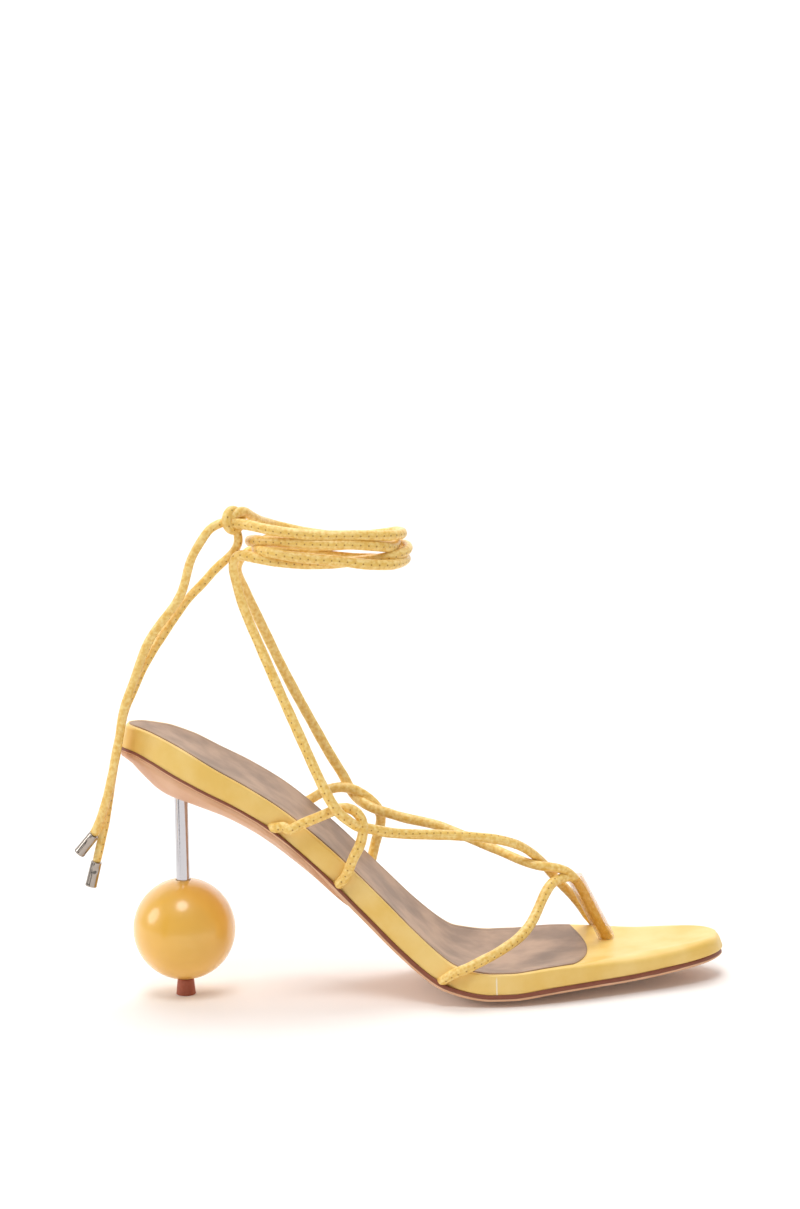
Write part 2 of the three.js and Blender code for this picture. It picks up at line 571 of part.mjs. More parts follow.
// Clear sleeve on the toe post, cut off just above the footbed
const sleeveBore = (CORD / 2) / Math.sqrt(Math.cos(Math.PI / CORD_SIDES)) + GAP;
const sleeveSkin = sleeveBore + SLEEVE_WALL;
const sleeveBody = turned([
  [sleeveBore, -2],
  [sleeveSkin, -2],
  [sleeveSkin, SLEEVE_LENGTH],
  [sleeveBore, SLEEVE_LENGTH],
  [sleeveBore, -2],
]);
const overFootbed = solidOf(sheet([
  { grid: plan(), height: () => 0 },
  { grid: plan(), height: (along) => board(along) + GAP },
]));
const sleeveSolid = solidOf(stand(sleeveBody, POST[0], postUp)).subtract(overFootbed);

// Two free ends hang from the knot, past the heel, each with a metal aglet
const TAIL_STEP = 8;
const TAILS = {
  a: graded([
    [21.9, -10, 177.2], [20, -11, 176.7], [17.1, -12, 175.5], [13.8, -13, 171.8], [10.9, -13.4, 167.4],
    [8.9, -13.6, 163.4], [5.4, -13.8, 152.4], [-0.9, -13.8, 143.5], [-7.4, -13.8, 134.6],
    [-12.8, -13.8, 121.6], [-17.5, -13.8, 109.3], [-19, -13.7, 101.6], [-21.7, -13.4, 89.7],
    [-24.1, -12.8, 80.3], [-28.2, -11.7, 68.9], [-29.5, -11.3, 65.8], [-31, -11, 63.1],
  ]),
  b: graded([
    [24.6, -8.3, 174.1], [26.5, -8.4, 171.9], [26.3, -8.2, 168.1], [23.5, -7.4, 164.7],
    [18.3, -8.2, 160.3], [12.8, -9.2, 154.7], [8.5, -9.6, 150.6], [1.9, -9.7, 142.2],
    [-4.4, -9.7, 133.3], [-10, -9.7, 124.3], [-14.7, -9.7, 114.7], [-17.5, -9.7, 108.5],
    [-19.3, -9.6, 100.8], [-21.1, -9.4, 93.7], [-22.1, -9.2, 88.9], [-23.9, -8.6, 79.5],
    [-26.1, -8, 68.3], [-28.5, -7.6, 58.9], [-30.4, -7.5, 51.8],
  ]),
};

function tail(points) {
  const curve = through(points);
  const cord = strap(curve, TAIL_STEP).subtract(knot(GAP));
  const direction = curve.getTangentAt(1);
  const foot = points[points.length - 1].clone().addScaledVector(direction, GAP);
  const aglet = turned([[0, 0], [AGLET_TOP / 2, 0], [AGLET_FOOT / 2, AGLET_LENGTH], [0, AGLET_LENGTH]]);
  return { cord, aglet: stand(aglet, foot, direction) };
}
const tailA = tail(TAILS.a);
const tailB = tail(TAILS.b);

// Colours and finishes
const yellowLeather = { color: 0xe8c67a, roughness: 0.5, metalness: 0 };
const brownEdge = { color: 0x8f5338, roughness: 0.45, metalness: 0 };
const tanCover = { color: 0xe2b693, roughness: 0.5, metalness: 0 };
const taupeLining = { color: 0xbfa38a, roughness: 0.45, metalness: 0 };
const steel = { color: 0xcbcbcb, roughness: 0.15, metalness: 1 };
const amberLacquer = { color: 0xe7b04c, roughness: 0.15, metalness: 0 };
const clearPlastic = { color: 0xf4f2ec, roughness: 0.1, metalness: 0, transparent: true, opacity: 0.35 };

function node(name, shape, finish) {
  const geometry = shape instanceof THREE.BufferGeometry ? geometryOf(solidOf(shape)) : geometryOf(shape);
  const mesh = new THREE.Mesh(geometry, new THREE.MeshStandardMaterial(finish));
  mesh.name = name;
  return mesh;
}

const sole = new THREE.Group().add(
  node("outsole", outsoleSolid, brownEdge),
  node("footbed", footbedSolid, yellowLeather),
  node("sock_lining", sockSolid, taupeLining),
);
const heel = new THREE.Group().add(
  node("heel_seat", seatSolid, tanCover),
  node("heel_rod", rodBody, steel),
  node("heel_ball", ballBody, amberLacquer),
  node("heel_tip", tipBody, brownEdge),
);
const upper = new THREE.Group().add(
  node("upper_straps", upperSolid, yellowLeather),
  node("toe_post_sleeve", sleeveSolid, clearPlastic),
);
const ties = new THREE.Group().add(
  node("wrap_knot", knot(0), yellowLeather),
  node("tie_end_a", tailA.cord, yellowLeather),
  node("tie_end_b", tailB.cord, yellowLeather),
  node("aglet_a", tailA.aglet, steel),
  node("aglet_b", tailB.aglet, steel),
);

export default new THREE.Group().add(sole, heel, upper, ties);
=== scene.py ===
"""Strappy high-heeled sandal with a rod-and-ball heel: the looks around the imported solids.

A right shoe in yellow leather. Rolled leather straps rise from a toe post and from the edges of a
padded footbed, pass through side loops and are wound twice round the ankle, where they are tied.
Lengths are in metres, +X runs to the toe, +Y to the inner side and +Z up, as in the solids.
"""

import bmesh
import bpy
import numpy as np
from mathutils import Matrix


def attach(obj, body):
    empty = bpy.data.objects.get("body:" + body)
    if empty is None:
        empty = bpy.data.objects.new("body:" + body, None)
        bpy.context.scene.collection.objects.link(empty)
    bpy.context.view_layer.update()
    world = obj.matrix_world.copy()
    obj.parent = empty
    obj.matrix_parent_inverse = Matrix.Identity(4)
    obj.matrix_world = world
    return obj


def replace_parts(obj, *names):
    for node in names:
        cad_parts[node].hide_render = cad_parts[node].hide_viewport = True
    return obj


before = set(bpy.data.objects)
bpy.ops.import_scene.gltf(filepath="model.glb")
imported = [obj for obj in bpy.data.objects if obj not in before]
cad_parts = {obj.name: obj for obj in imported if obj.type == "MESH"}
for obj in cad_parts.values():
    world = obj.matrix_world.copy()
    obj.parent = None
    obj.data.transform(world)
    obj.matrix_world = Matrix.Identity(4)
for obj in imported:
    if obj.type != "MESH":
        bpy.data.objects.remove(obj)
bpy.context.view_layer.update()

# Camera: a long lens from the outer side of the shoe, a little above it. Its frame is turned
# by two degrees, as the picture's is, and its axis meets the middle of the picture.
azimuth, elevation, roll = np.radians([1.0, 9.8, 1.9])
level = np.array([np.cos(azimuth), np.sin(azimuth), 0.0])
backward = np.array([np.sin(azimuth), -np.cos(azimuth), 0.0]) * np.cos(elevation)
backward[2] = np.sin(elevation)
upward = np.cross(backward, level)
turned_right = np.cos(roll) * level - np.sin(roll) * upward
turned_up = np.sin(roll) * level + np.cos(roll) * upward
camera = bpy.data.objects.new("studio_camera", bpy.data.cameras.new("studio_camera"))
camera.data.lens = 129.1
axes = np.column_stack([turned_right, turned_up, backward])
camera.matrix_world = Matrix(axes.tolist()).to_4x4()
camera.location = (0.1107, -1.55096, 0.41124)
bpy.context.scene.collection.objects.link(camera)
bpy.context.scene.camera = camera


# Strap leather: thin glazed lambskin rolled over a core and stitched along one side. Glazing
# gives it a soft sheen over fine grain, and the needle leaves a row of holes 2.8 mm apart.
def linear(colour):
    """An sRGB hex colour as linear red, green, blue and alpha."""
    value = np.array([int(colour[k : k + 2], 16) for k in (1, 3, 5)]) / 255
    value = np.where(value <= 0.04045, value / 12.92, ((value + 0.055) / 1.055) ** 2.4)
    return (*value, 1.0)


def add(material, kind, inputs, **settings):
    """Adds a node. An input is a value, or the socket of another node that feeds it."""
    made = material.node_tree.nodes.new(kind)
    for name, value in settings.items():
        setattr(made, name, value)
    for name, value in inputs.items():
        if isinstance(value, bpy.types.NodeSocket):
            material.node_tree.links.new(value, made.inputs[name])
        else:
            made.inputs[name].default_value = value
    return made


def finish_of(name, **settings):
    """A new material and its shader, with the shader's own constants set."""
    made = bpy.data.materials.new(name)
    made.use_nodes = True
    shader = made.node_tree.nodes["Principled BSDF"]
    for setting, value in settings.items():
        shader.inputs[setting.replace("_", " ")].default_value = value
    return made, shader


def step_down(material, value, start, end):
    """1 where a value is under start, falling to 0 at end."""
    limits = {"From Min": start, "From Max": end, "To Min": 1.0, "To Max": 0.0}
    return add(material, "ShaderNodeMapRange", {"Value": value, **limits}).outputs[0]


def mixed(material, share, low, high):
    """Colour low, going to colour high with share. Each is a socket or an sRGB hex colour."""
    pair = [linear(c) if isinstance(c, str) else c for c in (low, high)]
    inputs = {0: share, 6: pair[0], 7: pair[1]}
    return add(material, "ShaderNodeMix", inputs, data_type="RGBA").outputs[2]


def worked(material, operation, *values):
    """The result of a Math node. Each value is a number or a socket."""
    return add(material, "ShaderNodeMath", dict(enumerate(values)), operation=operation).outputs[0]


def noise(material, size, detail):
    """Cloudy noise fixed to the piece, with its features a real size apart."""
    place = add(material, "ShaderNodeTexCoord", {}).outputs["Object"]
    inputs = {"Vector": place, "Scale": 1 / size, "Detail": detail}
    return add(material, "ShaderNodeTexNoise", inputs).outputs[0]


def walk_map(material):
    """The piece's own map: the walk along it and the place across it, or the height up it."""
    walked = add(material, "ShaderNodeUVMap", {}, uv_map="walk").outputs[0]
    return add(material, "ShaderNodeSeparateXYZ", {"Vector": walked}).outputs


def bumped(material, height, strength, depth, **more):
    """A bump from a height, its depth in metres."""
    inputs = {"Height": height, "Strength": strength, "Distance": depth, **more}
    return add(material, "ShaderNodeBump", inputs)


def feed(material, shader, socket, value):
    """Links a value to one of the shader's sockets."""
    material.node_tree.links.new(value, shader.inputs[socket])


def leather(name, light, dark, grain, relief, rough, mottle=0.016):
    """Leather in two close tones that change over a mottle, with pebbled grain of a real size."""
    made, shader = finish_of(name, Roughness=rough, IOR=1.5)
    share = step_down(made, noise(made, mottle, 4.0), 0.64, 0.36)
    colour = mixed(made, share, light, dark)
    place = add(made, "ShaderNodeTexCoord", {}).outputs["Object"]
    pebble = add(made, "ShaderNodeTexVoronoi", {"Vector": place, "Scale": 1 / grain})
    crease = noise(made, grain / 0.4, 5.0)
    height = worked(made, "MULTIPLY_ADD", pebble.outputs["Distance"], 0.5, crease)
    bump = bumped(made, height, relief, 0.0002).outputs[0]
    feed(made, shader, "Base Color", colour)
    feed(made, shader, "Normal", bump)
    return made, shader, colour, bump


# Grain 0.5 mm wide; the needle holes lie on a seam and are drawn about 0.5 mm across
HOLE_PITCH, HOLE_RADIUS, SEAM_HALF = 0.0028, 0.00040, 0.00060
strap_skin, shader, yellow, grain = leather(
    "glazed_lambskin", "#fadb8c", "#e8b957", 0.0005, 0.38, 0.34, 0.0014
)
walk, across, _ = walk_map(strap_skin)
ahead = worked(strap_skin, "PINGPONG", walk, HOLE_PITCH / 2)
aside = worked(strap_skin, "ABSOLUTE", across)
spot = add(strap_skin, "ShaderNodeCombineXYZ", {0: ahead, 1: aside}).outputs[0]
reach = add(strap_skin, "ShaderNodeVectorMath", {0: spot}, operation="LENGTH").outputs["Value"]
shaded_hole = step_down(strap_skin, reach, 0.3 * HOLE_RADIUS, HOLE_RADIUS)
seam = step_down(strap_skin, aside, 0.08 * SEAM_HALF, SEAM_HALF)
sewn = mixed(strap_skin, seam, yellow, "#ecc362")
# Needle holes are painted a darker gold as painted shade inside them, and are sunk by a bump
feed(strap_skin, shader, "Base Color", mixed(strap_skin, shaded_hole, sewn, "#a56f22"))
sunk = bumped(strap_skin, shaded_hole, 0.6, 0.0002, Normal=grain)
sunk.invert = True
feed(strap_skin, shader, "Normal", sunk.outputs[0])


# Free ends: two ends of the ankle straps hang from the knot past the heel, side by side. Each
# is as long as the picture shows, near 130 and 140 mm, and is stiff enough to keep its curve.
SPACING = 0.0010


def smooth_line(points, spacing=SPACING, ease=0.0015):
    """Points at an even spacing on a cubic curve through the given ones, with corners eased."""
    points = np.asarray(points, float)
    chord = np.append(0, np.cumsum(np.linalg.norm(np.diff(points, axis=0), axis=1) ** 0.8))
    gap = np.diff(chord)
    slopes = np.diff(points, axis=0) / gap[:, None]
    inner = np.arange(1, len(points) - 1)
    system, bend = np.eye(len(points)), np.zeros_like(points)
    system[inner, inner - 1], system[inner, inner + 1] = gap[:-1], gap[1:]
    system[inner, inner] = 2 * (gap[:-1] + gap[1:])
    bend[1:-1] = 6 * np.diff(slopes, axis=0)
    bend = np.linalg.solve(system, bend)
    at = np.linspace(0, chord[-1], 60 * len(points))
    k = np.clip(np.searchsorted(chord, at, side="right") - 1, 0, len(gap) - 1)
    left, right, width = at - chord[k], chord[k + 1] - at, gap[k]
    left, right, width = left[:, None], right[:, None], width[:, None]
    curve = (bend[k] * right**3 + bend[k + 1] * left**3) / (6 * width)
    curve += (points[k] / width - bend[k] * width / 6) * right
    curve += (points[k + 1] / width - bend[k + 1] * width / 6) * left
    return even_line(ease_line(even_line(curve, spacing), spacing, ease), spacing)


def even_line(curve, spacing):
    """The same line with its points at one even spacing."""
    walk = np.append(0, np.cumsum(np.linalg.norm(np.diff(curve, axis=0), axis=1)))
    steps = max(4, int(round(walk[-1] / spacing)))
    even = np.linspace(0, walk[-1], steps + 1)
    return np.column_stack([np.interp(even, walk, curve[:, c]) for c in range(3)])


def ease_line(curve, spacing, ease):
    """A running mean over twice the distance ease, with the ends drawn on past their points."""
    reach = max(1, int(round(ease / spacing)))
    before = curve[0] + (curve[0] - curve[1]) * np.arange(reach, 0, -1)[:, None]
    after = curve[-1] + (curve[-1] - curve[-2]) * np.arange(1, reach + 1)[:, None]
    longer = np.vstack([before, curve, after])
    weight = np.hanning(2 * reach + 3)[1:-1]
    weight /= weight.sum()
    return np.column_stack([np.convolve(longer[:, c], weight, "valid") for c in range(3)])


def surface(name, grid, material, around=True, uv=None):
    """A mesh from a grid of points. around closes its second way; poles are merged to a point."""
    rows, columns = grid.shape[:2]
    index = np.arange(rows * columns).reshape(rows, columns)
    if around:
        index = np.column_stack([index, index[:, :1]])
    quads = np.stack([index[:-1, :-1], index[1:, :-1], index[1:, 1:], index[:-1, 1:]], -1)
    mesh = bpy.data.meshes.new(name)
    mesh.from_pydata(grid.reshape(-1, 3).tolist(), [], quads.reshape(-1, 4).tolist())
    if uv is not None:
        corners = np.stack([uv[:-1, :-1], uv[1:, :-1], uv[1:, 1:], uv[:-1, 1:]], 2)
        mesh.uv_layers.new(name="walk").data.foreach_set("uv", corners.ravel())
    return piece(name, mesh, material)


def piece(name, mesh, material):
    """A smooth object in its place, with doubled points merged, riding on the shoe."""
    work = bmesh.new()
    work.from_mesh(mesh)
    bmesh.ops.remove_doubles(work, verts=work.verts, dist=1e-6)
    bmesh.ops.dissolve_degenerate(work, edges=work.edges, dist=1e-7)
    bmesh.ops.recalc_face_normals(work, faces=work.faces)
    work.to_mesh(mesh)
    work.free()
    mesh.polygons.foreach_set("use_smooth", np.ones(len(mesh.polygons), bool))
    mesh.materials.append(material)
    made = bpy.data.objects.new(name, mesh)
    bpy.context.scene.collection.objects.link(made)
    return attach(made, "root")


# The middle of the foot and leg: the stitched side of each worn strap faces away from it
foot_middle = smooth_line(
    np.array(
        [
            [57, 0, 210], [57, 0, 160], [54, 0, 110], [72, 0, 66], [110, 2, 33], [152, 6, 9],
            [200, 6, 0],
        ]
    )
    / 1000,
    0.004,
)


def rolled_strap(name, line, width, thick, facing=None, seed=0.0, round_ends=True):
    """An oval section carried along a line, its stitched side turned to face away from the foot,
    or the way given. Slow waves in its width, of a few parts in a hundred, show the hand work.
    Its map holds the walk along the strap and the way round it from the stitched side."""
    along = np.gradient(line, axis=0)
    along /= np.linalg.norm(along, axis=1)[:, None]
    if facing is None:
        nearest = np.linalg.norm(line[:, None] - foot_middle[None], axis=2).argmin(1)
        out = line - foot_middle[nearest]
    else:
        out = np.broadcast_to(np.asarray(facing, float), line.shape)
    out = out / np.linalg.norm(out, axis=1)[:, None]
    out = out - (out * along).sum(1)[:, None] * along
    out = ease_line(out, SPACING, 5 * SPACING) if len(out) > 40 else out
    out = out - (out * along).sum(1)[:, None] * along
    out /= np.linalg.norm(out, axis=1)[:, None]
    side = np.cross(along, out)
    walk = np.append(0, np.cumsum(np.linalg.norm(np.diff(line, axis=0), axis=1)))
    swell = 1 + 0.02 * np.sin(walk / 0.0041 + seed) + 0.015 * np.sin(walk / 0.0017 + 2 * seed)
    shrink = np.ones_like(walk)
    if round_ends:
        edge = np.minimum(walk, walk[-1] - walk) / (0.5 * thick)
        shrink = np.sqrt(np.clip(1 - np.clip(1 - edge, 0, 1) ** 2, 0, 1))
    angle = np.linspace(-np.pi, np.pi, 25)
    turn = angle[None, :-1]
    scale = (swell * shrink)[:, None]
    high = 0.5 * thick * scale * np.cos(turn)
    wide = 0.5 * width * scale * np.sin(turn)
    grid = line[:, None] + high[..., None] * out[:, None] + wide[..., None] * side[:, None]
    grid[0] = grid[0].mean(0)
    grid[-1] = grid[-1].mean(0)
    uv = np.stack(
        np.broadcast_arrays(walk[:, None], 0.25 * (width + thick) * angle[None]), axis=-1
    )
    return surface(name, grid, strap_skin, True, uv)


end_a_line = smooth_line(
    np.array(
        [
            [21.9, -10, 177.2], [20, -11, 176.7], [17.1, -12, 175.5], [13.8, -13, 171.8],
            [10.9, -13.4, 167.4], [8.9, -13.6, 163.4], [5.4, -13.8, 152.4], [-0.9, -13.8, 143.5],
            [-7.4, -13.8, 134.6], [-12.8, -13.8, 121.6], [-17.5, -13.8, 109.3],
            [-19, -13.7, 101.6], [-21.7, -13.4, 89.7], [-24.1, -12.8, 80.3], [-27.4, -12, 70.4],
            [-30.8, -11, 63],
        ]
    )
    / 1000
)
end_b_line = smooth_line(
    np.array(
        [
            [25.2, -8.8, 174.8], [26.4, -8.5, 171.3], [25.7, -8.1, 167.7], [22.8, -7.7, 164.1],
            [18.1, -8.2, 160.2], [12.8, -9.2, 154.7],
            [8.5, -9.6, 150.6], [1.9, -9.7, 142.2], [-4.4, -9.7, 133.3], [-10, -9.7, 124.3],
            [-14.7, -9.7, 114.7], [-17.5, -9.7, 108.5], [-19.3, -9.6, 100.8], [-21.1, -9.4, 93.7],
            [-22.1, -9.2, 88.9], [-23.9, -8.6, 79.5], [-26.1, -8, 68.3], [-28.5, -7.6, 58.9],
            [-30.4, -7.5, 51.8],
        ]
    )
    / 1000
)
END_WIDTH = 0.0032
strap_end_a = rolled_strap("strap_end_a", end_a_line, END_WIDTH, END_WIDTH, (1.0, -0.2, 0.3), 0.4)
strap_end_b = rolled_strap("strap_end_b", end_b_line, END_WIDTH, END_WIDTH, (0.7, -0.8, 0.2), 1.9)
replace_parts(strap_end_a, "tie_end_a")
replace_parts(strap_end_b, "tie_end_b")

# Aglets: drawn nickel tubes pressed onto the two free ends, 9.5 mm long, open at the foot and
# dented by the punch that holds them. Polished nickel gives a warm grey mirror.
nickel, shader = finish_of("polished_nickel", Metallic=1.0, Roughness=0.16)
shader.inputs["Base Color"].default_value = linear("#a89f96")
rubbed = bumped(nickel, noise(nickel, 1 / 2200, 3.0), 0.12, 0.0001)
feed(nickel, shader, "Normal", rubbed.outputs[0])


def turned(name, profile, foot, head, material, dent=None, sides=64):
    """A profile of (radius, share of the way from foot to head) turned about that axis. A dent
    draws the wall inwards like a bell curve round one height and one direction."""
    foot, head = np.asarray(foot, float), np.asarray(head, float)
    axis = head - foot
    length = np.linalg.norm(axis)
    axis = axis / length
    across = np.cross(axis, [0.0, 1.0, 0.0])
    across /= np.linalg.norm(across)
    other = np.cross(axis, across)
    radius, rise = np.asarray(profile, float).T
    turn = np.linspace(0, 2 * np.pi, sides, endpoint=False)
    around = np.cos(turn)[:, None] * across + np.sin(turn)[:, None] * other
    reach = np.repeat(radius[:, None], sides, axis=1)
    if dent is not None:
        height, towards, wide, deep = dent
        towards = np.asarray(towards) / np.linalg.norm(towards)
        facing = np.arccos(np.clip(around @ towards, -1, 1))
        far = np.hypot((rise[:, None] - height) * length, facing[None] * reach) / wide
        reach = reach - deep * np.exp(-(far**2)) * (radius[:, None] > 0.0001)
    grid = foot + (rise * length)[:, None, None] * axis + reach[..., None] * around[None]
    walk = np.append(0, np.cumsum(np.hypot(np.diff(radius), np.diff(rise) * length)))
    uv = np.stack(
        np.broadcast_arrays(walk[:, None], np.append(turn, 2 * np.pi)[None] * max(radius)), axis=-1
    )
    return surface(name, grid, material, True, uv)


def finely(profile, step):
    """The same profile with points at most a step apart."""
    profile = np.asarray(profile, float)
    walk = np.append(0, np.cumsum(np.linalg.norm(np.diff(profile, axis=0), axis=1)))
    at = np.unique(np.append(np.arange(0, walk[-1], step), walk))
    return np.column_stack([np.interp(at, walk, profile[:, c]) for c in range(2)])


# A dent is its share of the height, its side, its width and its depth
AGLET, AGLET_DENT = 0.0095, (0.3, (0.2, -1, 0.1), 0.0009, 0.0006)
aglet_profile = finely(
    [
        [0, 0.03], [0.00162, 0.03], [0.00186, 0.0], [0.00200, 0.02], [0.00204, 0.2],
        [0.00208, 0.5], [0.00212, 0.9], [0.0022, 0.985], [0.00214, 1.0], [0.00186, 0.995],
        [0.00182, 0.62], [0, 0.6],
    ],
    0.06,
)


def aglet(name, line, foot):
    """A tapered tube pressed over a strap's last millimetre and pointing at its foot."""
    down = np.array(foot) - line[-1]
    down /= np.linalg.norm(down)
    start = line[-1] - 0.001 * down
    return turned(name, aglet_profile, start, start + AGLET * down, nickel, AGLET_DENT)


end_cap_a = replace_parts(aglet("end_cap_a", end_a_line, (-0.0368, -0.009, 0.0557)), "aglet_a")
end_cap_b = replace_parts(aglet("end_cap_b", end_b_line, (-0.0329, -0.0072, 0.0427)), "aglet_b")


# Footbed: a shaped board under soft padding, wrapped in glazed yellow lambskin that is drawn
# round its edges and glued underneath. Glazed lambskin shines softly and keeps a fine grain.
FOOT_LENGTH, HEEL_BACK, BALL_WIDTH, HEEL_RISE, TOE_SPRING = 0.2188, 0.020, 0.071, 0.0917, 0.0064
CUP, BOARD, EDGE_ROUND, BALL_LEVEL = 0.0033, 0.0084, 0.0030, 0.00145
# Rows: along, rise, spring, half width, middle, cup, board, edge rounding, keel of the heel seat
last = np.array(
    [
        [0.000, 1.006, 0.00, 0.000, 0.000, 0.15, 1.02, 0.4, 0.08],
        [0.023, 0.994, 0.00, 0.134, 0.000, 0.30, 1.05, 0.4, 0.26],
        [0.055, 0.958, 0.00, 0.225, 0.000, 0.45, 1.13, 0.4, 0.53],
        [0.091, 0.905, 0.00, 0.282, 0.000, 0.60, 1.17, 0.4, 0.72],
        [0.137, 0.847, 0.00, 0.318, 0.000, 0.60, 1.08, 0.4, 0.60],
        [0.192, 0.779, 0.00, 0.341, 0.000, 0.60, 1.00, 0.4, 0.46],
        [0.251, 0.689, 0.00, 0.349, 0.000, 0.52, 0.95, 0.4, 0.42],
        [0.320, 0.538, 0.00, 0.341, 0.007, 0.45, 0.97, 0.4, 0.28],
        [0.388, 0.363, 0.00, 0.346, 0.017, 0.48, 0.99, 0.4, 0.10],
        [0.457, 0.184, 0.00, 0.380, 0.021, 0.60, 0.98, 0.4, 0.00],
        [0.512, 0.066, 0.00, 0.431, 0.024, 0.79, 0.96, 0.4, 0.00],
        [0.557, 0.020, 0.00, 0.476, 0.027, 0.94, 0.94, 0.4, 0.00],
        [0.603, 0.000, 0.00, 0.496, 0.031, 1.00, 0.93, 0.4, 0.00],
        [0.649, 0.000, 0.00, 0.500, 0.039, 1.00, 0.92, 0.4, 0.00],
        [0.708, 0.000, 0.24, 0.479, 0.056, 0.91, 0.90, 0.5, 0.00],
        [0.777, 0.000, 0.43, 0.425, 0.076, 0.76, 0.88, 0.8, 0.00],
        [0.845, 0.000, 0.58, 0.354, 0.090, 0.64, 0.87, 1.1, 0.00],
        [0.914, 0.000, 0.85, 0.285, 0.108, 0.52, 0.82, 1.2, 0.00],
        [0.969, 0.000, 1.14, 0.192, 0.110, 0.36, 0.74, 1.0, 0.00],
        [1.000, 0.000, 1.32, 0.000, 0.105, 0.24, 0.66, 0.8, 0.00],
    ]
)
COLUMNS = ("along", "rise", "spring", "half", "centre", "cup", "board", "edge", "keel")
LAST = dict(zip(COLUMNS, last.T))


def angle_of(along):
    """Stations are counted by an angle from heel to toe, so that the outline closes round."""
    return np.arccos(1 - 2 * np.clip(along, 0, 1)) / np.pi


def last_column(name, along):
    """One column of the table at any stations: a cubic through its rows with their mean slopes."""
    knots, values = angle_of(LAST["along"]), LAST[name]
    before = np.maximum(np.arange(len(knots)) - 1, 0)
    after = np.minimum(np.arange(len(knots)) + 1, len(knots) - 1)
    slope = (values[after] - values[before]) / (knots[after] - knots[before])
    x = angle_of(along)
    i = np.clip(np.searchsorted(knots, x) - 1, 0, len(knots) - 2)
    span = knots[i + 1] - knots[i]
    t = (x - knots[i]) / span
    bend = t * (1 - t) ** 2 * span * slope[i] - t**2 * (1 - t) * span * slope[i + 1]
    return values[i] + (values[i + 1] - values[i]) * (3 - 2 * t) * t * t + bend


def underside(along):
    """The footbed's underside in the middle: level distance and height at each station."""
    rise = np.maximum(0, last_column("rise", along)) * HEEL_RISE
    spring = np.maximum(0, last_column("spring", along)) * TOE_SPRING
    return np.stack([along * FOOT_LENGTH - HEEL_BACK, BALL_LEVEL + rise + spring], -1)


stations = (1 - np.cos(np.pi * np.linspace(0, 1, 801))) / 2
walks = np.append(0, np.cumsum(np.linalg.norm(np.diff(underside(stations), axis=0), axis=1)))


def on_last(walk, across, height):
    """Points by their walk along the last, place across it and height square to it. The edges
    are lifted by the cup with a power of their share of the half width."""
    along = np.interp(walk, walks, stations)
    run = underside(np.minimum(1, along + 0.006)) - underside(np.maximum(0, along - 0.006))
    run /= np.linalg.norm(run, axis=-1)[..., None]
    beyond = walk - np.clip(walk, 0, walks[-1])
    width = np.maximum(0, last_column("half", along)) * BALL_WIDTH
    middle = last_column("centre", along) * BALL_WIDTH
    share = np.minimum(1.1, np.abs(across - middle) / np.maximum(width, 1e-5))
    formed = np.minimum(1, width / 0.016)
    up = height + last_column("cup", along) * CUP * (1 - (1 - share**2.4) * formed)
    base = underside(along)
    x = base[..., 0] + run[..., 0] * beyond - run[..., 1] * up
    z = base[..., 1] + run[..., 1] * beyond + run[..., 0] * up
    return np.stack([x, np.broadcast_to(across, x.shape), z], -1)


def outline(inset):
    """Both edges of the last's outline, moved inwards square to it by an inset(along, side)."""
    along = np.concatenate([stations, stations[-2:0:-1]])
    side = np.concatenate([-np.ones(len(stations)), np.ones(len(stations) - 2)])
    walk = np.interp(along, stations, walks)
    half = np.maximum(0, last_column("half", along)) * BALL_WIDTH
    across = last_column("centre", along) * BALL_WIDTH + side * half
    edge = np.stack([walk, across])
    tangent = np.roll(edge, -1, axis=1) - np.roll(edge, 1, axis=1)
    tangent /= np.linalg.norm(tangent, axis=0)
    by = inset(along, side) * np.ones_like(along)
    walk, across = walk - tangent[1] * by, across + tangent[0] * by
    n = len(stations)
    outer = np.stack([walk[:n], across[:n]])
    inner = np.stack([np.append(c[0], c[: n - 2 : -1]) for c in (walk, across)])
    return outer, inner


def ring(inset, share, front=None, rows=150):
    """A closed line of plan points, share of the way from the middle line to the outline. It
    goes up the outer side and back down the inner one. front(t) is where a sheet that stops
    short of the toe ends, by its share across, and the line then crosses there."""
    outer, inner = outline(inset)
    s = (1 - np.cos(np.pi * np.linspace(0, 1, rows + 1))) / 2
    t = np.ones(rows + 1)
    if front is None:
        t[[0, -1]] = 0.0
    cross = np.linspace(-1, 1, 41)[1:-1] if front else np.array([])
    s_all = np.concatenate([s, np.ones(len(cross)), s[::-1] if front else s[-2:0:-1]])
    t_all = np.concatenate([-t, cross, t if front else t[1:-1]])
    start = max(outer[0, 0], inner[0, 0])
    end = front(t_all) if front else min(outer[0, -1], inner[0, -1])
    walk = start + (0.5 + (s_all - 0.5) * (1 - 0.2 * (1 - share))) * (end - start)
    low = np.interp(walk, outer[0], outer[1])
    high = np.interp(walk, inner[0], inner[1])
    across = (low + high) / 2 + share * t_all * (high - low) / 2
    return walk, across, share * t_all


def sheet(name, layers, material, front=None, floor=None):
    """A closed sheet laid on the last: rings one above the other, the first and the last of
    them shrunk to the middle line. A layer is (inset, share, height), in order up the sheet.
    The walk map holds the walk along the last and the height over its underside."""
    grid, uv = [], []
    for inset, share, height in layers:
        walk, across, t = ring(inset, share, front)
        lift = height(np.interp(walk, walks, stations), t)
        spots = on_last(walk, across, lift)
        if floor is not None:
            spots[..., 2] = np.maximum(spots[..., 2], floor)
        grid.append(spots)
        uv.append(np.stack([walk, lift * np.ones_like(walk)], -1))
    grid, uv = np.array(grid), np.array(uv)
    return surface(name, grid, material, True, np.concatenate([uv, uv[:, :1]], 1))


def board(along, share=0):
    """The footbed's thickness at each station."""
    return last_column("board", along) * BOARD


def edge_round(along, side=0):
    """The depth of its upper edge's rounding."""
    return last_column("edge", along) * EDGE_ROUND


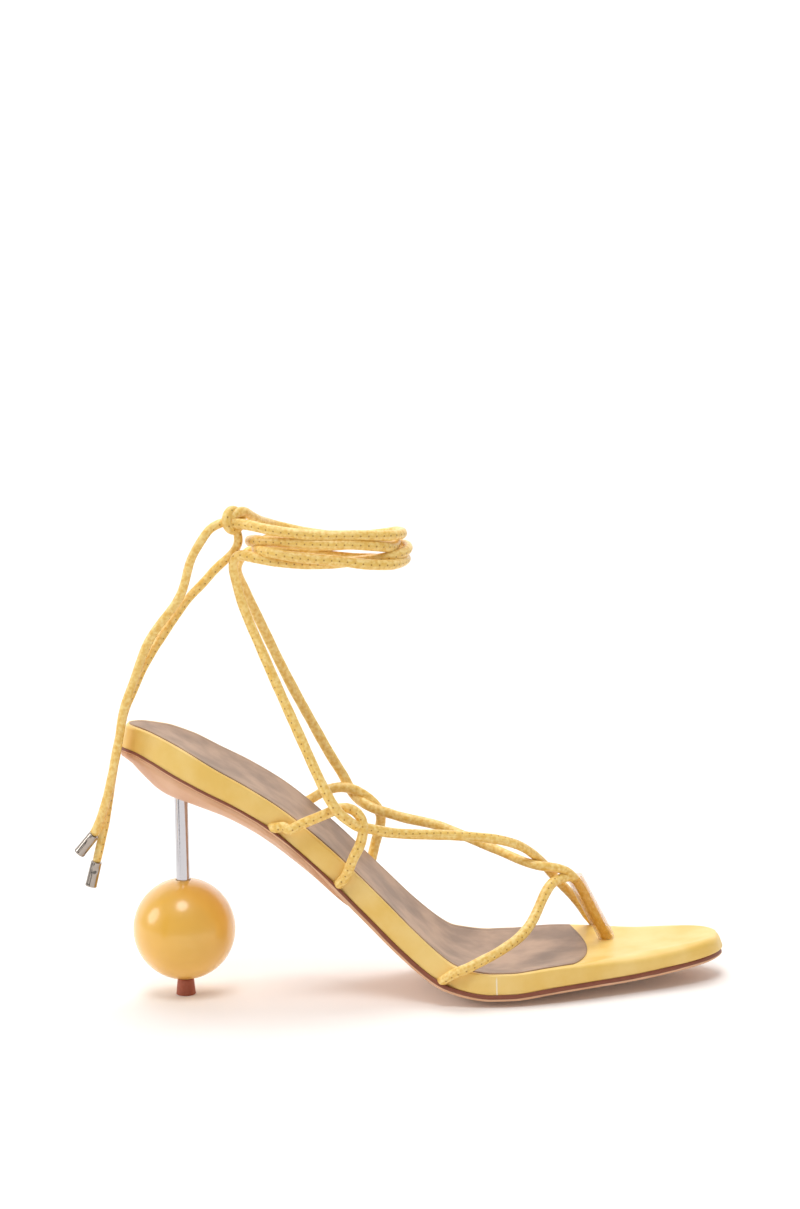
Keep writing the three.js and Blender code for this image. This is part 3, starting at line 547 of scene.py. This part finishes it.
def roll_width(along, side=0):
    """The rounding's width: as deep as it is wide at the heel, twice as wide beside the toes."""
    wider = np.clip((along - 0.6) / 0.3, 0, 1) * (1 - np.clip((along - 0.86) / 0.12, 0, 1))
    return edge_round(along) * (1.0 + 1.1 * wider)


def flat(value):
    """An inset or a height that is the same all round."""
    return lambda along, across: value + 0.0 * along


def plus(shape, value):
    """An inset or a height with a length added."""
    return lambda along, across: shape(along, across) + value


def face(inset, height, shares):
    """Layers across a flat face, at one height and a run of shares."""
    return [(inset, share, height) for share in shares]


wrap_skin, shader, wrap_tone, wrap_bump = leather(
    "glazed_lambskin_wrap", "#f2d080", "#ebc263", 0.0006, 0.14, 0.42
)
# The wrap's butt seam, drawn 0.5 mm wide, crosses the outer wall under the toe strap
WRAP_SEAM, WRAP_SEAM_HALF = 0.1145, 0.00040
seam_walk = float(np.interp((WRAP_SEAM + HEEL_BACK) / FOOT_LENGTH, stations, walks))
walk, height, _ = walk_map(wrap_skin)
off = worked(wrap_skin, "ABSOLUTE", worked(wrap_skin, "SUBTRACT", walk, seam_walk))
place = add(wrap_skin, "ShaderNodeTexCoord", {}).outputs["Object"]
sideways = add(wrap_skin, "ShaderNodeSeparateXYZ", {"Vector": place}).outputs[1]
outer = step_down(wrap_skin, sideways, -0.02, -0.01)
wall = step_down(wrap_skin, height, 0.0055, 0.0070)
butt = step_down(wrap_skin, off, 0.3 * WRAP_SEAM_HALF, WRAP_SEAM_HALF)
butt = worked(wrap_skin, "MULTIPLY", butt, worked(wrap_skin, "MULTIPLY", outer, wall))
dented = bumped(wrap_skin, butt, 0.5, 0.0003, Normal=wrap_bump)
feed(wrap_skin, shader, "Base Color", mixed(wrap_skin, butt, wrap_tone, "#fbeccb"))
feed(wrap_skin, shader, "Normal", dented.outputs[0])

INWARDS = [1.0, 0.97, 0.92, 0.84, 0.72, 0.56, 0.38, 0.18, 0.0]
UNDER_ROUND = 0.0006
under_turn = np.linspace(0, np.pi / 2, 5)[1:]
over_turn = np.linspace(0, np.pi / 2, 9)


def lower_edge(turn):
    """One layer of the lower edge's small rounding, by its angle from the underside."""
    return flat(UNDER_ROUND * (1 - np.sin(turn))), 1.0, flat(UNDER_ROUND * (1 - np.cos(turn)))


def upper_edge(turn):
    """One layer of the upper edge's rounding, by its angle from the wall."""

    def inset(along, side):
        return roll_width(along) * (1 - np.cos(turn))

    def height(along, share):
        return board(along) - edge_round(along) * (1 - np.sin(turn))

    return inset, 1.0, height


layers = face(flat(UNDER_ROUND), flat(0.0), INWARDS[::-1])
layers += [lower_edge(turn) for turn in under_turn] + [upper_edge(turn) for turn in over_turn]
layers += face(roll_width, board, INWARDS[1:])
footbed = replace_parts(sheet("footbed_wrap", layers, wrap_skin), "footbed")

# Sock lining: a thin greige leather lining with a fine wavy press grain, glued down from heel to
# the ball and cut in a curve behind the toes. It is dry and matt, its tone changing in soft random
# clouds.
sock_skin, shader, sock_tone, sock_bump = leather(
    "pressed_sock_leather", "#b8977d", "#8f7460", 0.0007, 0.25, 0.55
)
SOCK, SOCK_FRONT, SOCK_SAG = 0.0005, 0.1689, 0.0060


def sock_front(t):
    """The front edge by its share across: a parabola that falls back to both sides."""
    level = SOCK_FRONT - SOCK_SAG * 0.9 * t**2
    return np.interp(level / FOOT_LENGTH, stations, walks)


# The lining's edge lies a little inside the rounding, and its foot is pressed into the padding
sock_inset = plus(edge_round, 0.0008)
sock_layers = face(sock_inset, plus(board, -0.0002), INWARDS[::-1])
sock_layers += [
    (sock_inset, 1.0, plus(board, 0.5 * SOCK)),
    (plus(sock_inset, 0.0001), 1.0, plus(board, 0.85 * SOCK)),
    (plus(sock_inset, 0.0003), 0.999, plus(board, SOCK)),
]
# A creased line runs 2 mm inside the edge
for inwards, deep in ((0.0004, 0.0), (0.0015, 0.0), (0.0018, 0.00014), (0.0021, 0.0)):
    sock_layers += face(plus(sock_inset, inwards), plus(board, SOCK - deep), [0.996])
sock_layers += face(plus(sock_inset, 0.0021), plus(board, SOCK), INWARDS[1:])
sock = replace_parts(sheet("sock", sock_layers, sock_skin, sock_front), "sock_lining")

# Outsole: a tan leather sheet, its edge trimmed a little proud of the footbed, sanded and painted
# brown on its upper part. Edge paint dries as a thick satin film.
OUTSOLE, OUTSOLE_LIP, GAP = 0.0020, 0.0003, 0.0003
# Level distance from the heel back, side and lean of each strap end that is tucked over it
TUCKED = {
    "outer_loop_rear": (0.0550, -1, 0.9),
    "outer_loop_front": (0.0765, -1, -0.1),
    "inner_loop_rear": (0.0592, 1, 0.6),
    "inner_loop_front": (0.0845, 1, -0.3),
    "toe_strap": (0.1140, -1, 0.7),
    "vamp_strap": (0.1750, 1, -0.8),
}
sole_edge, shader, sole_tone, _ = leather(
    "veg_tan_sole_leather", "#e6bc99", "#d8a67c", 0.0004, 0.15, 0.5
)
# The painted part is 0.9 mm high at the heel and 1.6 mm from the arch on, with a wavy lower edge
walk, height, _ = walk_map(sole_edge)
level = worked(sole_edge, "MULTIPLY_ADD", noise(sole_edge, 1 / 90, 2.0), -0.0004, height)
thinner = step_down(sole_edge, walk, 0.080, 0.130)
level = worked(sole_edge, "MULTIPLY_ADD", thinner, -0.0007, level)
bare = step_down(sole_edge, level, -0.00180, -0.00165)
paint = mixed(sole_edge, noise(sole_edge, 0.0020, 4.0), "#783d28", "#8f5136")
feed(sole_edge, shader, "Base Color", mixed(sole_edge, bare, paint, sole_tone))


def lip(along, side):
    """How far the sheet's edge stands out: an even lip that falls back under the toe's tip, and
    a bell-shaped swell at each strap."""
    out = OUTSOLE_LIP - 0.0013 * np.clip((along - 0.90) / 0.08, 0, 1)
    for level, strap_side, _ in TUCKED.values():
        swell = np.exp(-(((along * FOOT_LENGTH - level) / 0.0032) ** 2))
        out = out + 0.0016 * swell * (side == strap_side)
    return -out


SKIVED, SEAT_LENGTH = 0.0010, 0.0860


def sole_foot(along, share=0):
    """The sheet's underside: skived thin over the seat, full from the seat's front edge on."""
    past = np.clip((along * FOOT_LENGTH - SEAT_LENGTH + 0.020) / 0.018, 0, 1)
    return -GAP - OUTSOLE + SKIVED * (1 - past * past * (3 - 2 * past))


sole_layers = face(plus(lip, 0.0006), sole_foot, INWARDS[::-1])
sole_layers += [
    (plus(lip, 0.0002), 1.0, plus(sole_foot, 0.0002)),
    (lip, 1.0, plus(sole_foot, 0.0004)),
    (plus(lip, -0.00005), 1.0, flat(-GAP - 0.0004)),
    (lip, 1.0, flat(-GAP)),
    (plus(lip, 0.0003), 1.0, flat(0.0001)),
]
sole_layers += face(plus(lip, 0.0006), flat(0.0001), INWARDS)
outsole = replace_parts(sheet("outsole_sheet", sole_layers, sole_edge, None, 0.0), "outsole")

# Heel seat: a moulded block under the heel, covered in tan leather that runs forward in a rounded
# tongue. It carries the rod, and its cover is smooth and satin.
cover, _, _, _ = leather("tan_cover_leather", "#deb18d", "#d29f78", 0.0005, 0.12, 0.45)
SEAT_TONGUE, SEAT_WIDTH, SEAT_DEPTH, SEAT_RIM = 0.0301, 0.02556, 0.0088, 0.0016


def seat_front(t):
    """The tongue's edge by its share across: an ellipse."""
    back = 1 - np.sqrt(np.maximum(0, 1 - (t * 0.0242 / SEAT_WIDTH) ** 2))
    level = SEAT_LENGTH - SEAT_TONGUE * back
    return np.interp(level / FOOT_LENGTH, stations, walks)


def keel(along, t):
    """The block's underside: deepest in the middle, falling off with a power of the share."""
    deep = np.maximum(0, last_column("keel", along)) * SEAT_DEPTH
    return -GAP - OUTSOLE + SKIVED - SEAT_RIM - deep * (1 - np.abs(t) ** 1.8)


def seat_wall(up):
    """A height between the block's underside and its top, by the share of the way up."""
    return lambda along, t: (1 - up) * keel(along, t) + up * seat_top(along, t)


# The cover's upper edge meets the sole's underside
seat_top = plus(sole_foot, 0.0002)
seat_layers = face(flat(0.0005), keel, np.linspace(0, 1, 26))
seat_layers += [
    (flat(0.0001), 1.0, seat_wall(0.3)),
    (flat(-0.0001), 1.0, seat_wall(0.8)),
    (flat(0.0001), 1.0, seat_top),
]
seat_layers += face(flat(0.0006), seat_top, INWARDS)
heel_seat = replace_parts(sheet("heel_seat_cover", seat_layers, cover, seat_front), "heel_seat")

# Heel rod: a steel rod turned to 5.1 mm and chromed, screwed up into the seat and leaning forward
# by a degree. The lathe leaves fine rings under the bright chrome.
lean = np.tan(np.radians(0.9))


def on_axis(height):
    """A point on the rod's axis, which leans towards the toe."""
    return np.array([lean * height, 0.0, height])


chrome, shader = finish_of("turned_chrome", Metallic=1.0, Roughness=0.16)
shader.inputs["Base Color"].default_value = linear("#c4c3c7")
walked = add(chrome, "ShaderNodeUVMap", {}, uv_map="walk").outputs[0]
rings = add(
    chrome,
    "ShaderNodeTexWave",
    {"Vector": walked, "Scale": 190.0, "Distortion": 0.3},
    wave_type="BANDS",
    bands_direction="X",
)
feed(chrome, shader, "Normal", bumped(chrome, rings.outputs[0], 0.10, 0.00005).outputs[0])
ROD_FOOT, ROD_TOP = 0.0024, 0.0786
rod_length = ROD_TOP - ROD_FOOT
rod_profile = finely(
    [
        [0, 0], [0.0015, 0], [0.0015, 0.0060 / rod_length], [0.00245, 0.0061 / rod_length],
        [0.00255, 0.0063 / rod_length], [0.00255, 0.997], [0.0024, 1.0], [0, 1.0],
    ],
    0.02,
)
rod = turned("rod", rod_profile, on_axis(ROD_FOOT), on_axis(ROD_TOP), chrome, None, 96)
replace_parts(rod, "heel_rod")

# Heel ball: a hardwood ball 37.6 mm across, bored for the rod and sprayed with amber lacquer that
# is rubbed to a deep gloss.
lacquer, shader = finish_of(
    "amber_lacquer", Roughness=0.38, Coat_Weight=0.9, Coat_Roughness=0.17, IOR=1.5
)
haze = mixed(lacquer, noise(lacquer, 1 / 45, 3.0), "#e9ae38", "#f4c35a")
feed(lacquer, shader, "Base Color", haze)
peel = bumped(lacquer, noise(lacquer, 1 / 420, 1.0), 0.05, 0.0002)
feed(lacquer, shader, "Coat Normal", peel.outputs[0])
BALL, TIP_HEIGHT, TIP_TOP, TIP_FOOT, BORE = 0.0188, 0.0060, 0.00305, 0.0036, 0.00262
ball_centre = TIP_HEIGHT + GAP + np.sqrt(BALL**2 - TIP_TOP**2)
mouth = np.arcsin((BORE + 0.0002) / BALL)
polar = np.linspace(mouth, np.pi - mouth, 97)
ball_profile = np.column_stack([BALL * np.sin(polar), 0.5 - 0.5 * np.cos(polar)])
rim = 0.5 - 0.5 * np.cos(mouth)
ball_profile = np.vstack(
    [
        [BORE, rim + 0.012],
        [BORE + 0.0001, rim + 0.003],
        ball_profile,
        [BORE + 0.0001, 1 - rim - 0.003],
        [BORE, 1 - rim - 0.012],
        [BORE, 0.5],
        [BORE, rim + 0.012],
    ]
)
ball_foot, ball_head = on_axis(ball_centre - BALL), on_axis(ball_centre + BALL)
ball = turned("ball", ball_profile, ball_foot, ball_head, lacquer, None, 192)
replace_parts(ball, "heel_ball")

# Heel tip: a brown moulded polyurethane lift pressed on the rod's reduced end. It is matt, and its
# foot is the shoe's rear resting face.
rubber, shader = finish_of("moulded_polyurethane", Roughness=0.55, IOR=1.5)
speck = noise(rubber, 1 / 900, 4.0)
feed(rubber, shader, "Base Color", mixed(rubber, speck, "#9c4c33", "#b5654b"))
feed(rubber, shader, "Normal", bumped(rubber, speck, 0.2, 0.0001).outputs[0])
tip_profile = finely(
    [
        [0, 0], [TIP_FOOT - 0.0003, 0], [TIP_FOOT, 0.05], [TIP_TOP, 0.96], [TIP_TOP - 0.0002, 1.0],
        [0.0018, 1.0], [0.0018, 0.333], [0, 0.333],
    ],
    0.05,
)
tip = turned("tip", tip_profile, on_axis(0.0), on_axis(TIP_HEIGHT), rubber)
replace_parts(tip, "heel_tip")

# Toe post: a straight stretch of rolled strap in a tube of clear PVC that spares the toes. The
# tube is glossy; down its sides it is painted white and less clear, a painted reflection.
clear, shader = finish_of("clear_pvc", Roughness=0.07, IOR=1.5)
swirl = bumped(clear, noise(clear, 1 / 180, 2.0), 0.15, 0.0003)
feed(clear, shader, "Normal", swirl.outputs[0])
grazing = add(clear, "ShaderNodeLayerWeight", {"Blend": 0.35}).outputs["Facing"]
veil = {"Value": grazing, "From Min": 0.30, "From Max": 0.90, "To Min": 0.20, "To Max": 0.88}
feed(clear, shader, "Alpha", add(clear, "ShaderNodeMapRange", veil).outputs[0])
# Seen square on, the tube is painted the deep yellow of the leather behind it; its sides are
# painted white, a painted reflection
square_on = step_down(clear, grazing, 0.30, 0.70)
feed(clear, shader, "Base Color", mixed(clear, square_on, "#f4f5fa", "#f2b738"))
post_foot, post_head = np.array([0.156, 0.017, 0.0128]), np.array([0.1447, 0.012, 0.0371])
post_up = (post_head - post_foot) / np.linalg.norm(post_head - post_foot)
sleeve_profile = finely(
    [
        [0.0024, 0.0], [0.0029, 0.0], [0.00295, 0.01], [0.00295, 0.985], [0.0028, 1.0],
        [0.0025, 0.995], [0.0024, 0.98], [0.0024, 0.0],
    ],
    0.05,
)
sleeve = turned("post_sleeve", sleeve_profile, post_foot - 0.0004 * post_up, post_head, clear)
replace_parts(sleeve, "toe_post_sleeve")

# Ankle straps: two long rolled straps. The outer one starts under the footbed's inner edge, the
# inner one from the toe post; both pass a side loop, are wound twice round the ankle and tied.
STRAP_WIDTH, STRAP_THICK = 0.0038, 0.0034
TURN = np.array([[-5, 0.2], [-2.5, 0.2], [-0.2, 0.3], [1.2, 1.0], [1.8, 2.4], [2.1, 4.2]]) / 1000


def tucked(name):
    """The centre line of a strap end: from under the footbed's edge, round it and up."""
    level, side, lean_by = TUCKED[name]
    along = level / FOOT_LENGTH + np.array([-0.004, 0.0, 0.004])
    walk = np.interp(along, stations, walks)
    half = last_column("half", along) * BALL_WIDTH
    across = last_column("centre", along) * BALL_WIDTH + side * half
    run = np.array([walk[2] - walk[0], across[2] - across[0]])
    run /= np.linalg.norm(run)
    out = np.array([-run[1], run[0]]) * side
    outside, height = TURN.T
    ahead = lean_by * (height - 0.002)
    w = walk[1] + out[0] * outside + run[0] * ahead
    a = across[1] + out[1] * outside + run[1] * ahead
    return on_last(w, a, height)


outer_route = np.array(
    [
        [150.3, 33, 16.2], [147, 26.5, 22.6], [143.5, 20.5, 28.4], [138.6, 15.5, 34.9],
        [136.2, 12.5, 38.6], [133.4, 10, 42.7], [131, 7.2, 45.9], [128, 3.6, 49.3],
        [124.3, 0, 52.4], [119.5, -3.4, 54.9], [114.7, -5.6, 56.5], [109.9, -7.4, 57.6],
        [105.1, -9, 58.5], [95.6, -12, 60], [87.5, -15.5, 61.2], [81, -18.5, 62.4],
        [75, -21.5, 64], [70.5, -23.4, 65.6], [67.5, -25.4, 66.6], [65.5, -28.3, 68],
        [63.2, -30.8, 70.3], [60.3, -32.3, 73.2], [58, -32.6, 76.4], [55.8, -32, 80.4],
        [52, -29.5, 88.4], [45.5, -25.5, 103.5], [39, -21.5, 118.5], [32.7, -17.5, 133.5],
        [26.9, -13.8, 148.5], [24.9, -12.3, 156.5], [24.2, -11.6, 161.2], [25.4, -12.2, 164.7],
        [30.5, -15, 165], [36.5, -17, 163.9], [46, -17.4, 162.4], [60, -16.8, 161.9],
        [70, -16.4, 162.5], [79, -14.3, 163], [84.7, -9, 163.5], [87.3, -1, 164.2],
        [85.5, 7, 164.2], [80.5, 13.5, 163.8], [72, 18.2, 163.2], [60, 20, 162.6],
        [48, 19.6, 162.8], [38.5, 16.5, 164.6], [32, 10, 167], [30, 1.5, 168.3], [31, -8, 169.5],
        [36.5, -15, 170.4], [46, -19, 170.1], [58, -20.4, 169.5], [70, -19.8, 168.8],
        [77.5, -16.5, 167.5], [81.7, -10.5, 166.3], [83, -3, 166.2], [82, 6, 165.9],
        [77.5, 13.8, 165.4], [69, 18.4, 165.3], [62, 19.8, 165.8], [53, 20.2, 167.1],
        [43.9, 19.4, 169.3], [37.8, 15.8, 171.6], [35.4, 11, 173.2], [33.6, 5.5, 174.8],
        [31.8, 0, 176.8], [30, -4, 178.8], [28.2, -7.2, 180.2], [26, -9.2, 180],
        [23.8, -10.3, 178.7], [21.6, -10.5, 177.6],
    ]
)
inner_route = np.array(
    [
        [141.4, 8.4, 40.3], [136.2, 5.4, 42.6], [131.4, 3.8, 43.7], [126.6, 5, 44.9],
        [121.8, 8, 46.4], [117, 10.8, 48.1], [112.2, 12.8, 49.9], [107.4, 14.8, 51.7],
        [100.9, 17, 54.4], [94, 19.6, 56.6], [88, 21.8, 57.7], [80.4, 24, 59.2],
        [76, 24.8, 60.6], [72.8, 25, 61.6], [70, 25.8, 62.6], [67, 28, 64], [64, 31, 66],
        [61.8, 32.8, 69], [60.0, 33, 73], [57.3, 32.2, 78], [49.4, 28.2, 94.2],
        [41.7, 23.8, 111], [34.7, 19.3, 128], [28.2, 15, 144.5], [25.3, 12.4, 152],
        [24.2, 10.8, 157], [26.5, 11.4, 161], [32, 14.5, 163], [38, 18, 160.4], [46, 20, 159.9],
        [54, 20.4, 159.4], [62, 20.3, 158.2], [69, 19.7, 157.6], [77.5, 16.8, 157.7],
        [83, 11.5, 158.7], [86.2, 3, 159.8], [85.8, -5.5, 160.3], [82.8, -13.5, 160.4],
        [78.5, -18.2, 161], [72, -20.3, 161.8], [62.3, -20.9, 163.4], [46, -20.9, 165.5],
        [39, -19.8, 166.9], [34.5, -15.5, 167.1], [32.6, -8, 166.6], [32.8, 0, 166.6],
        [35.5, 8, 167.4], [41, 14, 167.6], [50, 15.8, 166.6], [60, 16.1, 166.2], [70, 15, 166.6],
        [78, 11.6, 167.8], [83, 6, 169.2], [85.3, -1, 169.8], [84.7, -8, 170.4],
        [81.5, -13.5, 170.9], [76, -17.7, 171.6], [68, -19.9, 172.3], [57, -20.4, 172.7],
        [46, -20.2, 173.9], [37, -17.7, 175.2], [31, -14.2, 176.2], [25.5, -10.9, 176.6],
        [21.5, -10.4, 177],
    ]
)
outer_line = smooth_line(np.vstack([tucked("vamp_strap"), outer_route / 1000]))
post_start = post_foot - 0.004 * post_up
post_middle = 0.5 * (post_foot + post_head)
post_line = np.array([post_start, post_foot, post_middle, post_head - 0.003 * post_up])
inner_line = smooth_line(np.vstack([post_line, inner_route / 1000]))
outer_strap = rolled_strap("outer_ankle_strap", outer_line, STRAP_WIDTH, STRAP_THICK, None, 0.7)
inner_strap = rolled_strap("inner_ankle_strap", inner_line, STRAP_WIDTH, STRAP_THICK, None, 2.6)
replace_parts(outer_strap, "upper_straps")

# Side loops: a short length of the same strap on each side, both ends tucked under the footbed's
# edge, standing up as an open loop that the ankle strap runs through.
outer_loop_route = np.array(
    [
        [40.4, -28, 66.9], [44.8, -28, 68.5], [50, -28, 70.6], [55.2, -27.7, 72.6],
        [59.1, -27.2, 74], [62.4, -26.8, 74.4], [65.2, -26.6, 73.2], [67.3, -26.6, 70.8],
        [68.2, -26.8, 67.6], [67.9, -27.2, 64.2], [66.6, -27.6, 60.1], [64.4, -28, 56.2],
    ]
)
inner_loop_route = np.array(
    [
        [47.8, 27.8, 66.1], [52.2, 29, 68.4], [57.6, 30, 69.7], [61.5, 30, 69.4], [65.1, 30, 67.9],
        [68.2, 29.6, 66], [70.8, 29.4, 63.6], [72.6, 29.2, 61], [73.4, 29.2, 58], [73, 29.4, 54.8],
        [72.1, 29.8, 51.7], [71, 30.2, 48.3],
    ]
)
for name, route in (("outer_loop", outer_loop_route), ("inner_loop", inner_loop_route)):
    line = np.vstack([tucked(name + "_rear"), route / 1000, tucked(name + "_front")[::-1]])
    rolled_strap(name, smooth_line(line), STRAP_WIDTH, STRAP_THICK, None, 1.1)

# Toe strap: a short rolled strap from under the footbed's outer edge over the toes, its end drawn
# down into the clear tube beside the ankle strap.
toe_route = np.array(
    [
        [103.4, -33.6, 15], [108.6, -31.6, 17], [113.2, -29.2, 18.6],
        [118.2, -25.5, 20.6], [123, -20.5, 22.7], [126.8, -15.5, 25.5], [129.6, -10, 28.8],
        [131.9, -5.5, 32.6], [134.1, -1.5, 35.8], [136.9, 3, 37.8], [140.7, 7.5, 38],
        [143.8, 10.8, 37.2], [145.6, 12.4, 34.8],
    ]
)
toe_line = smooth_line(np.vstack([tucked("toe_strap"), toe_route / 1000]))
rolled_strap("toe_strap", toe_line, STRAP_WIDTH, STRAP_THICK, None, 3.3)

# Knot: the strap ends pass through one upright turn of strap at the back of the ankle, which
# pulls tight on them. It is the same rolled strap, bent round a radius of 3.6 mm.
KNOT_RADIUS = 0.0036
knot_centre = np.array([0.0248, -0.0094, 0.1775])
turn = np.radians(np.linspace(-20, 380, 120))[:, None]
sideways = np.array([0.64, 0.77, 0.0])
crosswise = np.array([0.77, -0.64, 0.0])
round_turn = np.cos(turn) * sideways + np.sin(turn) * np.array([0, 0, 1.0])
knot_line = knot_centre + KNOT_RADIUS * round_turn
knot_line = even_line(knot_line + 0.0008 * (turn / np.pi - 1) * crosswise, 0.0008)
knot = rolled_strap("knot_turn", knot_line, 0.0034, 0.0032, (0.3, -0.9, 0.2), 0.2)
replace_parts(knot, "wrap_knot")

# Studio: a white paper sweep under and behind the shoe that glows with painted light, dim at the
# floor and full white where it rises, with round soft lights at the left, above the camera and
# overhead, and a black card to the left of the picture that draws a dark line into the metal.
paper, shader = finish_of("matt_white_paper", Roughness=0.9, Emission_Strength=0.75)
shader.inputs["Base Color"].default_value = linear("#f7f4f2")
place = add(paper, "ShaderNodeTexCoord", {}).outputs["Object"]
height = add(paper, "ShaderNodeSeparateXYZ", {"Vector": place}).outputs[2]
# The paper's glow is painted light: its emission goes from dim grey at the floor to white 0.6 m up
glow = add(paper, "ShaderNodeMapRange", {"Value": height, "From Min": 0.0, "From Max": 0.6})
painted_glow_colour = mixed(paper, glow.outputs[0], "#3d3a38", "#ffffff")
feed(paper, shader, "Emission Color", painted_glow_colour)
bow = np.radians(np.linspace(0, 90, 25))
bent = np.column_stack([0.9 + 1.2 * np.sin(bow), 1.2 - 1.2 * np.cos(bow)])
sweep = np.vstack([[[-3.0, 0.0]], bent, [[2.1, 4.0]]])
back, high = np.repeat(sweep[:, :1], 2, 1), np.repeat(sweep[:, 1:], 2, 1)
paper_grid = np.stack([np.tile([-4.0, 4.0], (len(sweep), 1)), back, high], -1)
surface("paper_sweep", paper_grid, paper, False)
felt, shader = finish_of("black_felt", Roughness=1.0)
shader.inputs["Base Color"].default_value = linear("#0b0b0b")
card = np.array([[[-0.215, -0.195, z], [-0.165, -0.245, z]] for z in (0.0, 0.26)])
surface("left_card", card, felt, False)
world = bpy.data.worlds.new("studio_air")
world.use_nodes = True
world.node_tree.nodes["Background"].inputs["Color"].default_value = (1.0, 1.0, 1.0, 1.0)
world.node_tree.nodes["Background"].inputs["Strength"].default_value = 0.40
bpy.context.scene.world = world
bpy.context.scene.view_settings.view_transform = "Standard"


def soft_light(name, spot, size, watts):
    """A round area light at a spot, its face turned to the middle of the shoe."""
    data = bpy.data.lights.new(name, "AREA")
    data.shape, data.size, data.energy = "DISK", size, watts
    made = bpy.data.objects.new(name, data)
    toward = np.array(spot) - np.array([0.06, 0.0, 0.08])
    toward /= np.linalg.norm(toward)
    across = np.cross([0, 0, 1.0], toward)
    across /= np.linalg.norm(across)
    frame_axes = np.column_stack([across, np.cross(toward, across), toward])
    made.matrix_world = Matrix(frame_axes.tolist()).to_4x4()
    made.location = spot
    bpy.context.scene.collection.objects.link(made)


soft_light("left_light", (-1.6, -0.2, 0.80), 0.9, 9.0)
soft_light("front_light", (-0.05, -0.9, 2.0), 0.9, 15.0)
soft_light("top_light", (0.1, 0.5, 1.9), 1.2, 16.0)
